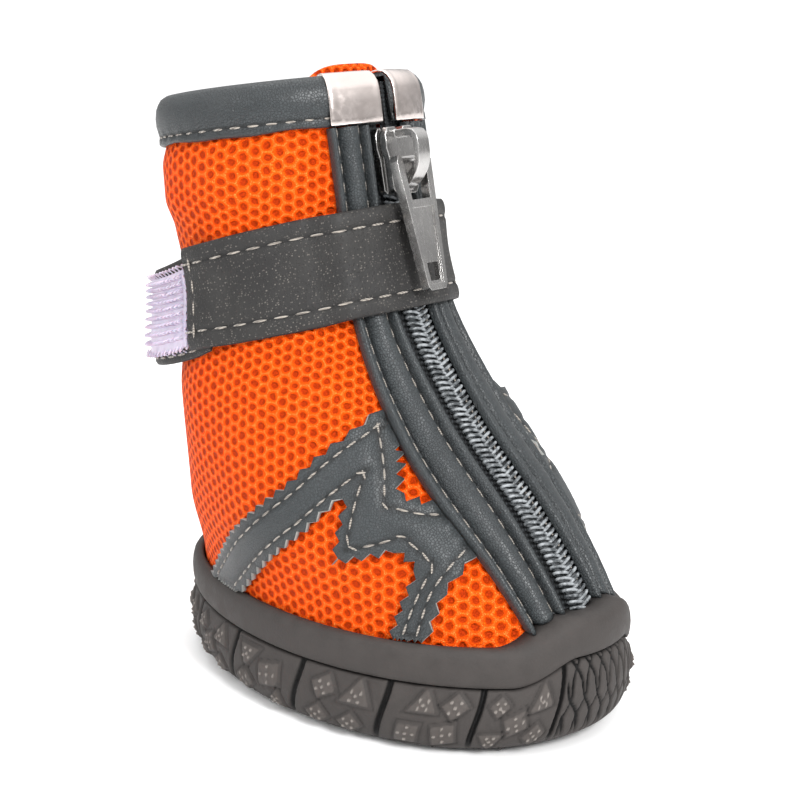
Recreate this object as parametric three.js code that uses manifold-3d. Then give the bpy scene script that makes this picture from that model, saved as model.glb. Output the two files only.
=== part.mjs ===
// A small dog's zip boot: rubber cup sole, air mesh upper and leatherette trim.
// Millimetres, +Z up. The toe points along -Y and the boot's own right is -X.
// The origin is on the floor, under the middle of the sole.

import * as THREE from "three";
import { mergeVertices } from "three/addons/utils/BufferGeometryUtils.js";
import Module from "manifold-3d";

const wasm = await Module();
wasm.setup();

// Driving dimensions
const soleLength = 77;
const soleWidth = 50;
const heelTaper = 0.17; // how much narrower the outline is at the heel
const collarHeight = 85; // floor to the collar's edge, at its middle
const upperWall = 2; // air mesh
const leather = 0.9; // leatherette and strap webbing
const fit = 0.3; // gap between pieces that touch

// Sole
const soleFloor = 4.4; // floor to the inside of the cup
const wallTop = 15.4; // floor to the top of the rim band, at the sides
const bandHeight = 5.2; // plain rim band above the side blocks
const bumperRise = 3.4; // how much higher the rim is over the toe
const bumperFlat = 5; // half width of the bumper's top
const bumperEnd = 13; // half width where the rim is back at its own height
const treadDepth = 1.6;
const sideRelief = 1; // depth of the grooves between the side blocks
const toeRelief = 0.6; // depth of the grooves between the toe's scales
const toeSpring = 1.7;
const heelLift = 1;
const insoleThickness = 2;

// Zip
const slotHalf = 5.5; // half width of the throat that the zip closes
const tapeWall = 1.1;
const tapeSink = 0.2; // upper's surface down to the tape
const coilWidth = 5;
const coilHeight = 1.5;
const coilLift = 0.1; // upper's surface to the underside of the coil and the slider
const facingWidest = 11.6; // zip's middle to the facing's outer edge, at the instep
const facingPuff = 1.4; // upper's surface to the facing's padded middle
const sliderLength = 9.4;
const sliderWidth = 6.2;
const sliderHeight = 3;
const crownWidth = 2.4;
const crownWall = 0.9;
const crownSpace = 1.5; // room that the crown leaves over the tab's bar
const tabLength = 18.5;
const tabWidth = 7.2; // over the two arms at the top
const tabThickness = 1.5;
const tabArm = 1.2; // width of each arm beside the crown
const tabBar = 1; // diameter of the bar under the crown
const tabTilt = 5; // degrees that the tab's end stands further out than its pivot

// Trim
const bindingHeight = 5.9;
const parting = 1.3; // half of the gap at the zip's top
const clipWidth = 7.6;
const clipWall = 0.5;
const tongueHalf = 10;
const tongueWall = 1.2;
const tongueAbove = 2.8; // how far its rounded top stands over the collar
const strapWidth = 15.6;
const strapLift = 0.4; // mesh to the strap's underside
const tailBulge = 3.6; // how far the slack tail stands off the mesh
const hookWall = 0.8;

// Sections of the last, from the sole up. rise is a share of collarHeight, half of soleWidth,
// front and back of soleLength, measured from the middle. taper narrows the heel, and slope
// is how far, in degrees, the front of the section stands up.
const lastSections = [
  { rise: 0.04, half: 0.445, front: 0.456, back: 0.456, taper: 0.17, slope: 0 },
  { rise: 0.15, half: 0.45, front: 0.46, back: 0.46, taper: 0.16, slope: 0 },
  { rise: 0.23, half: 0.452, front: 0.415, back: 0.462, taper: 0.12, slope: 0 },
  { rise: 0.33, half: 0.45, front: 0.322, back: 0.46, taper: 0.08, slope: 1 },
  { rise: 0.46, half: 0.435, front: 0.172, back: 0.455, taper: 0.04, slope: 3 },
  { rise: 0.59, half: 0.408, front: 0.058, back: 0.447, taper: 0, slope: 6 },
  { rise: 0.7, half: 0.382, front: 0.01, back: 0.446, taper: 0, slope: 7 },
  { rise: 0.82, half: 0.395, front: -0.012, back: 0.472, taper: 0, slope: 8 },
  { rise: 1, half: 0.38, front: -0.047, back: 0.49, taper: 0, slope: 8 },
];

const aroundLast = 48;

// Value of one column at a rise, on a smooth curve through the rows.
function columnAt(rows, key, column, at) {
  const last = rows.length - 2;
  const above = rows.findIndex((row) => row[key] > at);
  const i = above < 0 ? last : Math.min(Math.max(above - 1, 0), last);
  const [a, b] = [rows[i], rows[i + 1]];
  const before = rows[Math.max(i - 1, 0)];
  const after = rows[Math.min(i + 2, rows.length - 1)];
  const span = b[key] - a[key];
  const t = (at - a[key]) / span;
  const startSlope = (b[column] - before[column]) / (b[key] - before[key]);
  const endSlope = (after[column] - a[column]) / (after[key] - a[key]);
  const t2 = t * t;
  const t3 = t2 * t;
  return (
    (2 * t3 - 3 * t2 + 1) * a[column] +
    (t3 - 2 * t2 + t) * startSlope * span +
    (3 * t2 - 2 * t3) * b[column] +
    (t3 - t2) * endSlope * span
  );
}

// A point of an egg-shaped ring. angle is 0 at the toe, and grows towards +X.
function eggPoint(half, front, back, taper, angle) {
  const middle = (back - front) / 2;
  const depth = (back + front) / 2;
  const share = (1 - Math.cos(angle)) / 2;
  const x = half * Math.sin(angle) * (1 - taper * share * share);
  return new THREE.Vector2(x, middle - depth * Math.cos(angle));
}

function lastForm(rise, angle) {
  const column = (name) => columnAt(lastSections, "rise", name, rise);
  const front = column("front") * soleLength;
  const back = column("back") * soleLength;
  const ring = eggPoint(column("half") * soleWidth, front, back, column("taper"), angle);
  const lean = Math.tan(THREE.MathUtils.degToRad(column("slope")));
  const middle = (back - front) / 2;
  return new THREE.Vector3(ring.x, ring.y, rise * collarHeight + lean * (middle - ring.y));
}

// A point of the upper's outer surface, moved out along its normal by out.
function lastPoint(rise, angle, out = 0) {
  const point = lastForm(rise, angle);
  if (out === 0) return point;
  const step = 1e-3;
  const across = lastForm(rise, angle + step).sub(lastForm(rise, angle - step));
  const up = lastForm(rise + step, angle).sub(lastForm(rise - step, angle));
  return point.addScaledVector(across.cross(up).normalize(), out);
}

// The sole's outline, moved in along its normal by inset.
function outlinePoint(angle, inset = 0) {
  const half = soleWidth / 2;
  const end = soleLength / 2;
  const at = (a) => eggPoint(half, end, end, heelTaper, a);
  const step = 1e-3;
  const along = at(angle + step).sub(at(angle - step)).normalize();
  return at(angle).add(new THREE.Vector2(-along.y, along.x).multiplyScalar(inset));
}

// A point of the upper's front by its distance x from the middle line.
function frontPoint(rise, x, out = 0) {
  const half = columnAt(lastSections, "rise", "half", rise) * soleWidth;
  return lastPoint(rise, Math.asin(x / half), out);
}

// The rise at which the front line, x from the middle, is z above the floor.
function riseOf(z, x = 0) {
  let rise = z / collarHeight;
  for (let i = 0; i < 8; i += 1) rise += (z - frontPoint(rise, x).z) / collarHeight;
  return rise;
}

function mix(a, b, t) {
  return a + (b - a) * t;
}

function smoothStep(t) {
  const s = Math.min(Math.max(t, 0), 1);
  return s * s * (3 - 2 * s);
}

function steps(from, to, count) {
  return Array.from({ length: count }, (_, i) => mix(from, to, i / (count - 1)));
}

function around(count) {
  return Array.from({ length: count }, (_, i) => (2 * Math.PI * i) / count);
}

// Height of the rim's top: it steps up over the toe.
function rimTopAt(x, y) {
  if (y > 0) return wallTop;
  return wallTop + bumperRise * smoothStep((bumperEnd - Math.abs(x)) / (bumperEnd - bumperFlat));
}

// How far the underside lifts off the floor: toe spring and heel lift, flat between.
function springAt(y) {
  const toe = Math.max(0, (-y / soleLength - 0.25) / 0.25);
  const heel = Math.max(0, (y / soleLength - 0.36) / 0.14);
  return toeSpring * toe * toe + heelLift * heel * heel;
}

function signedVolume(points, triangles) {
  let sum = 0;
  for (let i = 0; i < triangles.length; i += 3) {
    const [a, b, c] = [0, 1, 2].map((k) => points[triangles[i + k]]);
    sum += a.dot(new THREE.Vector3().crossVectors(b, c));
  }
  return sum / 6;
}

// Triangles face out, whichever way the points ran.
function geometryOf(points, triangles) {
  if (signedVolume(points, triangles) < 0) triangles.reverse();
  const geometry = new THREE.BufferGeometry();
  const numbers = points.flatMap((p) => [p.x, p.y, p.z]);
  geometry.setAttribute("position", new THREE.Float32BufferAttribute(numbers, 3));
  geometry.setIndex(triangles);
  return geometry;
}

// A closed body from rings of equal length: a pole, the rings, a pole.
function ringBody(startPole, rings, endPole) {
  const count = rings[0].length;
  const points = [startPole, ...rings.flat(), endPole];
  const at = (row, i) => 1 + row * count + (i % count);
  const end = points.length - 1;
  const triangles = [];
  for (let i = 0; i < count; i += 1) {
    triangles.push(0, at(0, i + 1), at(0, i));
    triangles.push(end, at(rings.length - 1, i), at(rings.length - 1, i + 1));
    for (let row = 0; row < rings.length - 1; row += 1) {
      triangles.push(at(row, i), at(row, i + 1), at(row + 1, i + 1));
      triangles.push(at(row, i), at(row + 1, i + 1), at(row + 1, i));
    }
  }
  return geometryOf(points, triangles);
}

// A sheet with thickness: outer and inner are grids of the same size, rows of points.
// With round, each row closes on itself.
function thickSheet(outer, inner, round = false) {
  const rows = outer.length;
  const count = outer[0].length;
  const points = [...outer.flat(), ...inner.flat()];
  const at = (side, row, i) => side * rows * count + row * count + (i % count);
  const triangles = [];
  const quad = (a, b, c, d) => triangles.push(a, b, c, a, c, d);
  const last = rows - 1;
  const end = count - 1;
  for (let i = 0; i < (round ? count : end); i += 1) {
    for (let row = 0; row < last; row += 1) {
      quad(at(0, row, i), at(0, row, i + 1), at(0, row + 1, i + 1), at(0, row + 1, i));
      quad(at(1, row, i), at(1, row + 1, i), at(1, row + 1, i + 1), at(1, row, i + 1));
    }
    quad(at(0, 0, i), at(1, 0, i), at(1, 0, i + 1), at(0, 0, i + 1));
    quad(at(0, last, i), at(0, last, i + 1), at(1, last, i + 1), at(1, last, i));
  }
  for (let row = 0; row < last && !round; row += 1) {
    quad(at(0, row, 0), at(0, row + 1, 0), at(1, row + 1, 0), at(1, row, 0));
    quad(at(0, row, end), at(1, row, end), at(1, row + 1, end), at(0, row + 1, end));
  }
  return geometryOf(points, triangles);
}

// A sheet whose rows and columns run over two lists: face says where a point of one side is.
function gridSheet(rows, columns, face, round = false) {
  const side = (which) => rows.map((row) => columns.map((column) => face(row, column, which)));
  return thickSheet(side("outer"), side("inner"), round);
}

function solidFrom(geometry) {
  const bare = geometry.index ? geometry.toNonIndexed() : geometry.clone();
  bare.deleteAttribute("normal");
  bare.deleteAttribute("uv");
  const merged = mergeVertices(bare, 1e-4);
  const vertProperties = new Float32Array(merged.attributes.position.array);
  const triVerts = new Uint32Array(merged.index.array);
  return new wasm.Manifold(new wasm.Mesh({ numProp: 3, vertProperties, triVerts }));
}

function geometryFrom(solid) {
  const mesh = solid.getMesh();
  const geometry = new THREE.BufferGeometry();
  const positions = new THREE.BufferAttribute(Float32Array.from(mesh.vertProperties), 3);
  geometry.setAttribute("position", positions);
  geometry.setIndex(new THREE.BufferAttribute(Uint32Array.from(mesh.triVerts), 1));
  return geometry;
}

function cut(solid, tools) {
  return tools.reduce((left, tool) => left.subtract(tool), solid);
}

// A box from its lowest to its highest corner.
function box(low, high) {
  const size = high.map((value, i) => value - low[i]);
  const middle = high.map((value, i) => (value + low[i]) / 2);
  return solidFrom(new THREE.BoxGeometry(...size).translate(...middle));
}

// An outline in the XY plane, drawn out along Z from low to high.
function prism(corners, low, high) {
  const shape = new THREE.Shape(corners.map(([x, y]) => new THREE.Vector2(x, y)));
  const settings = { depth: high - low, bevelEnabled: false };
  return new THREE.ExtrudeGeometry(shape, settings).translate(0, 0, low);
}

function polygon(sides, radius, turn = 0) {
  return around(sides).map((a) => [radius * Math.cos(a + turn), radius * Math.sin(a + turn)]);
}

const boot = new THREE.Group();

function addPiece(name, geometry, look) {
  const mesh = new THREE.Mesh(geometry, new THREE.MeshStandardMaterial(look));
  mesh.name = name;
  boot.add(mesh);
  return mesh;
}

const rubberLook = { color: 0x5c5654, roughness: 0.75, metalness: 0 };
const airMeshLook = { color: 0xff5a0a, roughness: 0.85, metalness: 0 };
const leatheretteLook = { color: 0x5e6567, roughness: 0.6, metalness: 0 };
const webbingLook = { color: 0x5b5856, roughness: 0.8, metalness: 0 };
const foamLook = { color: 0x3a3a3c, roughness: 0.95, metalness: 0 };
const tapeLook = { color: 0x2b2d30, roughness: 0.9, metalness: 0 };
const nickelLook = { color: 0xc9c6c4, roughness: 0.3, metalness: 1 };
const hookLook = { color: 0xd9cfe0, roughness: 0.8, metalness: 0 };

// Outsole: rows of its profile, from under the middle out and up to the rim. scale draws the
// row in towards the middle, inset is a share of soleWidth. low is a share of the height of
// the side blocks, band of bandHeight. out and lift are shares of a side groove's depth.
const soleProfile = [
  { scale: 0.6, inset: 0.16, low: 0, band: 0, out: 0, lift: 0 },
  { scale: 1, inset: 0.15, low: 0, band: 0, out: 0, lift: 0 },
  { scale: 1, inset: 0.1, low: 0, band: 0, out: 0, lift: 1 },
  { scale: 1, inset: 0.05, low: 0.06, band: 0, out: 0.5, lift: 0.6 },
  { scale: 1, inset: 0.018, low: 0.22, band: 0, out: 1, lift: 0.2 },
  { scale: 1, inset: 0.002, low: 0.58, band: 0, out: 1, lift: 0 },
  { scale: 1, inset: 0.012, low: 0.93, band: 0, out: 0.8, lift: 0 },
  { scale: 1, inset: 0.027, low: 1, band: 0, out: 0, lift: 0 },
  { scale: 1, inset: 0.014, low: 1, band: 0.12, out: 0, lift: 0 },
  { scale: 1, inset: 0.006, low: 1, band: 0.5, out: 0, lift: 0 },
  { scale: 1, inset: 0.014, low: 1, band: 0.88, out: 0, lift: 0 },
  { scale: 1, inset: 0.034, low: 1, band: 1, out: 0, lift: 0 },
  { scale: 1, inset: 0.15, low: 1, band: 1, out: 0, lift: 0 },
];

// Grooves between the side blocks, in degrees from the toe, with finer ones between the
// toe's scales. Each groove has three stations, and each block has one more in its middle.
const firstGrooveAngle = 19.5;
const blockAngle = 22.5;
const blocksPerSide = 7;
const scaleAngle = 6.5;
const blockGroove = { depth: sideRelief, half: 1.7 };
const scaleGroove = { depth: toeRelief, half: 1.1 };

function sideStations() {
  const grooves = [{ at: 180, ...blockGroove }];
  for (const side of [-1, 1]) {
    for (let i = 0; i < blocksPerSide; i += 1) {
      grooves.push({ at: side * (firstGrooveAngle + blockAngle * i), ...blockGroove });
    }
  }
  for (let i = -2; i <= 2; i += 1) grooves.push({ at: i * scaleAngle, ...scaleGroove });
  grooves.sort((a, b) => a.at - b.at);
  return grooves.flatMap(({ at, depth, half }, i) => {
    const next = grooves[i + 1] ?? { at: grooves[0].at + 360, half: grooves[0].half };
    const between = next.at - at > blockAngle / 2 ? [1 / 2] : [];
    return [
      { at: at - half, depth: 0 },
      { at, depth },
      { at: at + half, depth: 0 },
      ...between.map((t) => ({ at: mix(at + half, next.at - next.half, t), depth: 0 })),
    ];
  });
}

function soleForm() {
  const stations = sideStations();
  const rings = soleProfile.map((row) =>
    stations.map(({ at, depth }) => {
      const angle = THREE.MathUtils.degToRad(at);
      const flat = outlinePoint(angle, row.inset * soleWidth + row.out * depth);
      flat.multiplyScalar(row.scale);
      const top = rimTopAt(flat.x, flat.y);
      const low = mix(springAt(flat.y), top - bandHeight, row.low) + row.lift * depth;
      return new THREE.Vector3(flat.x, flat.y, low + row.band * bandHeight);
    }),
  );
  const top = new THREE.Vector3(0, 0, wallTop);
  return solidFrom(ringBody(new THREE.Vector3(0, 0, 0), rings, top));
}

const upperRises = [
  (soleFloor + fit) / collarHeight, 0.15, 0.19, 0.23, 0.28, 0.33, 0.39, 0.46, 0.53,
  0.61, 0.7, 0.8, 0.9, 1,
];

// The last's form as a closed body, out from the upper's surface.
function lastSolid(rises, out) {
  const rings = rises.map((rise) => around(aroundLast).map((a) => lastPoint(rise, a, out)));
  const pole = (ring) => {
    const sum = ring.reduce((total, p) => total.add(p), new THREE.Vector3());
    return sum.divideScalar(ring.length);
  };
  return solidFrom(ringBody(pole(rings[0]), rings, pole(rings.at(-1))));
}

// Tread lugs. along is a share of soleLength from the toe, across of soleWidth, size of
// soleWidth. With both, the lug stands on each side of the middle.
const treadLugs = [
  { sides: 6, along: 0.29, across: 0, size: 0.05, turn: 0, both: false },
  { sides: 6, along: 0.36, across: 0, size: 0.05, turn: 0, both: false },
  { sides: 6, along: 0.43, across: 0, size: 0.05, turn: 0, both: false },
  { sides: 6, along: 0.5, across: 0, size: 0.05, turn: 0, both: false },
  { sides: 4, along: 0.57, across: 0, size: 0.05, turn: 0, both: false },
  { sides: 16, along: 0.29, across: 0.17, size: 0.085, turn: 0, both: false },
  { sides: 4, along: 0.29, across: -0.13, size: 0.07, turn: 45, both: false },
  { sides: 4, along: 0.19, across: 0.05, size: 0.055, turn: 0, both: true },
  { sides: 4, along: 0.19, across: 0.15, size: 0.055, turn: 0, both: true },
  { sides: 3, along: 0.13, across: 0.09, size: 0.055, turn: 180, both: true },
  { sides: 3, along: 0.135, across: 0.2, size: 0.055, turn: 0, both: true },
  { sides: 4, along: 0.385, across: 0.16, size: 0.07, turn: 45, both: true },
  { sides: 4, along: 0.48, across: 0.12, size: 0.06, turn: 45, both: true },
  { sides: 4, along: 0.24, across: 0.29, size: 0.06, turn: 30, both: true },
  { sides: 4, along: 0.34, across: 0.31, size: 0.06, turn: 20, both: true },
  { sides: 4, along: 0.44, across: 0.3, size: 0.06, turn: 0, both: true },
  { sides: 4, along: 0.53, across: 0.25, size: 0.06, turn: -20, both: true },
  { sides: 3, along: 0.6, across: 0.12, size: 0.06, turn: 0, both: true },
  { sides: 3, along: 0.63, across: 0.23, size: 0.06, turn: 180, both: true },
  { sides: 3, along: 0.68, across: 0.07, size: 0.06, turn: 180, both: true },
  { sides: 3, along: 0.71, across: 0.2, size: 0.06, turn: 0, both: true },
  { sides: 3, along: 0.78, across: 0.15, size: 0.06, turn: 180, both: true },
  { sides: 4, along: 0.76, across: 0, size: 0.06, turn: 0, both: false },
  { sides: 4, along: 0.82, across: 0.06, size: 0.055, turn: 0, both: true },
  { sides: 4, along: 0.88, across: 0, size: 0.055, turn: 0, both: false },
];

function treadPrisms() {
  return treadLugs.flatMap(({ sides, along, across, size, turn, both }) =>
    (both ? [1, -1] : [1]).map((side) => {
      const corners = polygon(sides, size * soleWidth, THREE.MathUtils.degToRad(turn));
      const x = side * across * soleWidth;
      const y = (along - 0.5) * soleLength;
      const placed = corners.map((corner) => [x + side * corner[1], y + corner[0]]);
      return solidFrom(prism(placed, -2 * treadDepth, 3 * treadDepth));
    }),
  );
}

// The hollow under the sole that the lugs stand in.
const pocketShare = 0.14; // share of soleWidth

function treadPocket() {
  const row = (scale, z) =>
    around(aroundLast).map((a) => {
      const flat = outlinePoint(a, pocketShare * soleWidth).multiplyScalar(scale);
      return new THREE.Vector3(flat.x, flat.y, z ?? springAt(flat.y) + treadDepth);
    });
  const under = new THREE.Vector3(0, 0, -treadDepth);
  const rings = [row(1, -treadDepth), row(1), row(0.8), row(0.6)];
  const pocket = solidFrom(ringBody(under, rings, new THREE.Vector3(0, 0, treadDepth)));
  return cut(pocket, treadPrisms());
}

function makeOutsole() {
  const rises = [soleFloor / collarHeight, ...upperRises.slice(1, 6)];
  return geometryFrom(cut(soleForm(), [lastSolid(rises, fit), treadPocket()]));
}

// The insole lies in the cup, inside the upper's wall.
function makeInsole() {
  const low = soleFloor + fit;
  const high = low + insoleThickness;
  const inside = -upperWall - 1.4 * fit;
  const rings = [low, high].map((z) =>
    around(aroundLast).map((a) => lastPoint(z / collarHeight, a, inside)),
  );
  return ringBody(new THREE.Vector3(0, 0, low), rings, new THREE.Vector3(0, 0, high));
}

// The throat's slot ends a little below the rim, behind the bumper.
const slotTuck = 2;
const slotFloor = wallTop + bumperRise - slotTuck;
const slotShare = 0.15; // how far back the slot's cut goes, as a share of soleLength
const overCollar = collarHeight * 1.2;

function makeUpper() {
  const shell = gridSheet(
    upperRises,
    around(aroundLast),
    (rise, a, side) => lastPoint(rise, a, side === "outer" ? 0 : -upperWall),
    true,
  );
  const far = slotShare * soleLength;
  const slot = box([-slotHalf, -soleLength, slotFloor], [slotHalf, far, overCollar]);
  return geometryFrom(cut(solidFrom(shell), [slot]));
}

// Tongue: behind the zip, bent further in at the top to pass inside the collar's binding.
const tongueBend = { from: 0.78, to: 0.9 };

function makeTongue() {
  const bottom = riseOf(slotFloor + slotTuck);
  const along = steps(0, 1, 11);
  const across = steps(-1, 1, 9);
  return gridSheet(along, across, (t, s, side) => {
    const top = 1 + (tongueAbove * (1 - 0.8 * s ** 4)) / collarHeight;
    const rise = mix(bottom, top, t);
    const bend = smoothStep((rise - tongueBend.from) / (tongueBend.to - tongueBend.from));
    const gap = upperWall + mix(1.6 * fit, leather + 3.3 * fit, bend);
    return frontPoint(rise, s * tongueHalf, -gap - (side === "outer" ? 0 : tongueWall));
  });
}

// Zip: the tape fills the throat, the coil lies on it, a facing runs down each side.
const sliderShare = 0.865;
const sliderLow = sliderShare - sliderLength / 2 / collarHeight;
const sliderHigh = sliderShare + sliderLength / 2 / collarHeight;

function makeTape() {
  const rises = steps(riseOf(slotFloor + tapeWall + fit), 1 - fit / collarHeight, 15);
  const columns = steps(-slotHalf + fit, slotHalf - fit, 4);
  const sheet = gridSheet(rises, columns, (rise, x, side) =>
    frontPoint(rise, x, side === "outer" ? -tapeSink : -tapeSink - tapeWall),
  );
  const half = parting - fit;
  const from = frontPoint(sliderHigh, 0).z;
  const parted = box([-half, -soleLength, from], [half, soleLength, overCollar]);
  return geometryFrom(cut(solidFrom(sheet), [parted]));
}

// across is a share of the coil's half width, out of its height.
const coilProfile = [
  { across: -1, out: 0.5 },
  { across: -0.6, out: 1 },
  { across: 0, out: 0.85 },
  { across: 0.6, out: 1 },
  { across: 1, out: 0.5 },
];

function makeCoil() {
  const low = riseOf(rimTopAt(0, -1) + fit);
  const rises = steps(low, sliderLow - fit / collarHeight, 15);
  return gridSheet(rises, coilProfile, (rise, { across, out }, side) => {
    const height = side === "outer" ? out * coilHeight : 0;
    return frontPoint(rise, (across * coilWidth) / 2, coilLift + height);
  });
}

// at is a share of the facing's width from its inner edge, out of facingPuff.
const facingProfile = [
  { at: 0, out: 0.8 },
  { at: 0.18, out: 0.93 },
  { at: 0.25, out: 0.72 },
  { at: 0.42, out: 1 },
  { at: 0.62, out: 1 },
  { at: 0.77, out: 0.72 },
  { at: 0.85, out: 0.93 },
  { at: 1, out: 0.8 },
];

// Zip's middle to the facing's outer edge, by rise, as a share of facingWidest.
const facingWidths = [
  { rise: 0.16, half: 0.74 },
  { rise: 0.28, half: 0.88 },
  { rise: 0.38, half: 1 },
  { rise: 0.5, half: 0.95 },
  { rise: 0.65, half: 0.83 },
  { rise: 1, half: 0.8 },
];
const facingStart = sliderWidth / 2 + fit;

function facingHalf(rise) {
  return facingWidest * columnAt(facingWidths, "rise", "half", rise);
}

function makeFacing(side) {
  const high = 1 - (bindingHeight + fit) / collarHeight;
  return gridSheet(steps(0, 1, 14), facingProfile, (t, { at, out }, face) => {
    const near = mix(facingStart, facingHalf(facingWidths[0].rise), at);
    const low = riseOf(rimTopAt(near - 2 * fit, -1) + 1.4 * fit, side * near);
    const rise = mix(low, high, t);
    const x = side * mix(facingStart, facingHalf(rise), at);
    return frontPoint(rise, x, face === "outer" ? out * facingPuff : 1.4 * fit);
  });
}

// A turned frame at the slider: x across, y up the chain, z out from the boot.
function sliderFrame() {
  const origin = frontPoint(sliderShare, 0);
  const up = frontPoint(sliderHigh, 0).sub(frontPoint(sliderLow, 0)).normalize();
  const across = new THREE.Vector3(1, 0, 0);
  const out = new THREE.Vector3().crossVectors(across, up);
  return new THREE.Matrix4().makeBasis(across, up, out).setPosition(origin);
}

// Half of the slider's plan, from its lower end up: across is a share of half its width,
// along of half its length. The notch at the upper end parts the two chains.
const sliderPlan = [
  { across: 0.7, along: -1 },
  { across: 0.87, along: -0.8 },
  { across: 0.87, along: 0.1 },
  { across: 1, along: 0.42 },
  { across: 1, along: 0.8 },
  { across: 0.77, along: 1 },
  { across: 0.29, along: 1 },
];
const notchShare = 0.79;
const sliderTop = coilLift + sliderHeight;
const pivotOut = sliderTop + 1.5 * fit + tabThickness / 2;
const crownHeight = pivotOut - sliderTop + tabBar / 2 + crownSpace + crownWall;

// Side views of the crown and of the opening under it, from the upper end down: along is a
// share of half the slider's length, rise of the crown's height over the slider.
const crownEdge = [
  { along: 0.9, rise: 0 },
  { along: 0.86, rise: 0.8 },
  { along: 0.6, rise: 1 },
  { along: -0.1, rise: 0.96 },
  { along: -0.55, rise: 0.62 },
  { along: -0.9, rise: 0 },
];
const crownOpening = [
  { along: 0.68, rise: 0 },
  { along: 0.66, rise: 0.65 },
  { along: 0.53, rise: 0.77 },
  { along: -0.03, rise: 0.75 },
  { along: -0.35, rise: 0.45 },
  { along: -0.42, rise: 0 },
];

// Extrudes a side view of the crown sideways; foot is how far out its open side stands.
function crownPrism(edge, foot, width) {
  const side = edge.map(({ along, rise }) => [
    (along * sliderLength) / 2,
    rise > 0 ? sliderTop + rise * crownHeight : foot,
  ]);
  const across = new THREE.Vector3(1, 0, 0);
  const up = new THREE.Vector3(0, 1, 0);
  const out = new THREE.Vector3(0, 0, 1);
  const turn = new THREE.Matrix4().makeBasis(up, out, across);
  return solidFrom(prism(side, -width / 2, width / 2).applyMatrix4(turn));
}

function makeSlider() {
  const halfLength = sliderLength / 2;
  const corner = (side) => ({ across, along }) => [
    (side * across * sliderWidth) / 2,
    along * halfLength,
  ];
  const plan = [
    ...sliderPlan.map(corner(1)),
    [0, notchShare * halfLength],
    ...[...sliderPlan].reverse().map(corner(-1)),
  ];
  const body = solidFrom(prism(plan, coilLift, sliderTop));
  const arch = crownPrism(crownEdge, sliderTop - crownWall / 4, crownWidth);
  const opening = crownPrism(crownOpening, sliderTop, 2 * crownWidth);
  return geometryFrom(body.add(arch.subtract(opening))).applyMatrix4(sliderFrame());
}

// The tab narrows from its arms to its end.
const tabEndShare = 0.54;

function tabHalf(along) {
  return (tabWidth / 2) * mix(1, tabEndShare, along);
}

// Half of the tab's plan, from its top down: along is a share of its length below the
// pivot, across of half its width there. A bar under the crown joins the two arms.
const tabPlan = [
  { across: 0.86, along: -0.03 },
  { across: 1, along: 0.02 },
  { across: 1, along: 0.965 },
  { across: 0.8, along: 1 },
];
const eyeShare = 0.31; // of tabLength, down to where the two arms meet
const window = { across: 0.5, from: 0.79, to: 0.93 };

function makeTab() {
  const both = (half) => [...half, ...[...half].reverse().map(([x, y]) => [-x, y])];
  const plan = tabPlan.map(({ across, along }) => [across * tabHalf(along), -along * tabLength]);
  const through = 2 * tabThickness;
  const eye = [(-2 * tabBar) / tabLength, eyeShare].map((along) => [tabHalf(along) - tabArm, -along * tabLength]);
  const slot = [window.from, window.to].map((along) => [
    window.across * tabHalf(along),
    -along * tabLength,
  ]);
  const plate = solidFrom(prism(both(plan), -tabThickness / 2, tabThickness / 2));
  const tools = [both(eye), both(slot)].map((hole) => solidFrom(prism(hole, -through, through)));
  const barLength = 2 * tabPlan[0].across * tabHalf(0);
  const bar = new THREE.CylinderGeometry(tabBar / 2, tabBar / 2, barLength, 12);
  return geometryFrom(cut(plate, tools).add(solidFrom(bar.rotateZ(Math.PI / 2))));
}

function tabFrame() {
  const tilt = new THREE.Matrix4().makeRotationX(-THREE.MathUtils.degToRad(tabTilt));
  const pivot = new THREE.Matrix4().makeTranslation(0, 0, pivotOut);
  return sliderFrame().multiply(pivot).multiply(tilt);
}

// Collar binding: rows round its fold, up the outside, over the edge and down the inside.
// drop is a share of bindingHeight. face is 1 at the upper's outer face and -1 at its inner.
// thick and over are shares of the leather, sideways and upwards.
const foldRows = [
  { drop: 1, face: 1, thick: 0.9, over: 0 },
  { drop: 0.5, face: 1, thick: 1.1, over: 0 },
  { drop: 0.05, face: 1, thick: 1, over: 0 },
  { drop: 0, face: 0.95, thick: 0.1, over: 0.85 },
  { drop: 0, face: -0.95, thick: 0.1, over: 0.85 },
  { drop: 0.05, face: -1, thick: 1, over: 0 },
  { drop: 0.65, face: -1, thick: 1, over: 0 },
];
const foldTop = 1.3 * fit; // the collar's edge to the fold's inner side

function foldPoint({ drop, face, thick, over }, angle, side) {
  const grown = side === "outer" ? leather : 0;
  const out = mix(-upperWall - fit, fit, (1 + face) / 2) + Math.sign(face) * thick * grown;
  const above = over * grown + (over > 0 ? foldTop : 0) - drop * bindingHeight;
  return lastPoint(1 + above / collarHeight, angle, out);
}

const collarHalf = soleWidth * lastSections.at(-1).half;

function makeBinding() {
  const start = Math.asin(parting / collarHalf);
  return gridSheet(foldRows, steps(start, 2 * Math.PI - start, 37), foldPoint);
}

// End clips: a bent plate over the binding's end. back is a share of the way across the
// collar's edge.
const clipRows = [
  { drop: 1, back: 0, over: 0 },
  { drop: 0.03, back: 0, over: 0 },
  { drop: 0, back: 0.15, over: 1 },
  { drop: 0, back: 1, over: 1 },
];

function clipPoint({ drop, back, over }, angle, side) {
  const grown = side === "outer" ? clipWall : 0;
  const out = mix(2 * fit + 1.1 * leather + grown, -upperWall, back);
  const top = foldTop + 0.85 * leather + fit + grown;
  const above = over > 0 ? top : -drop * bindingHeight;
  return lastPoint(1 + above / collarHeight, angle, out);
}

function makeClip(side) {
  const [from, to] = [parting, parting + clipWidth].map((x) => side * Math.asin(x / collarHalf));
  return gridSheet(clipRows, steps(from, to, 6), clipPoint);
}

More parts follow.
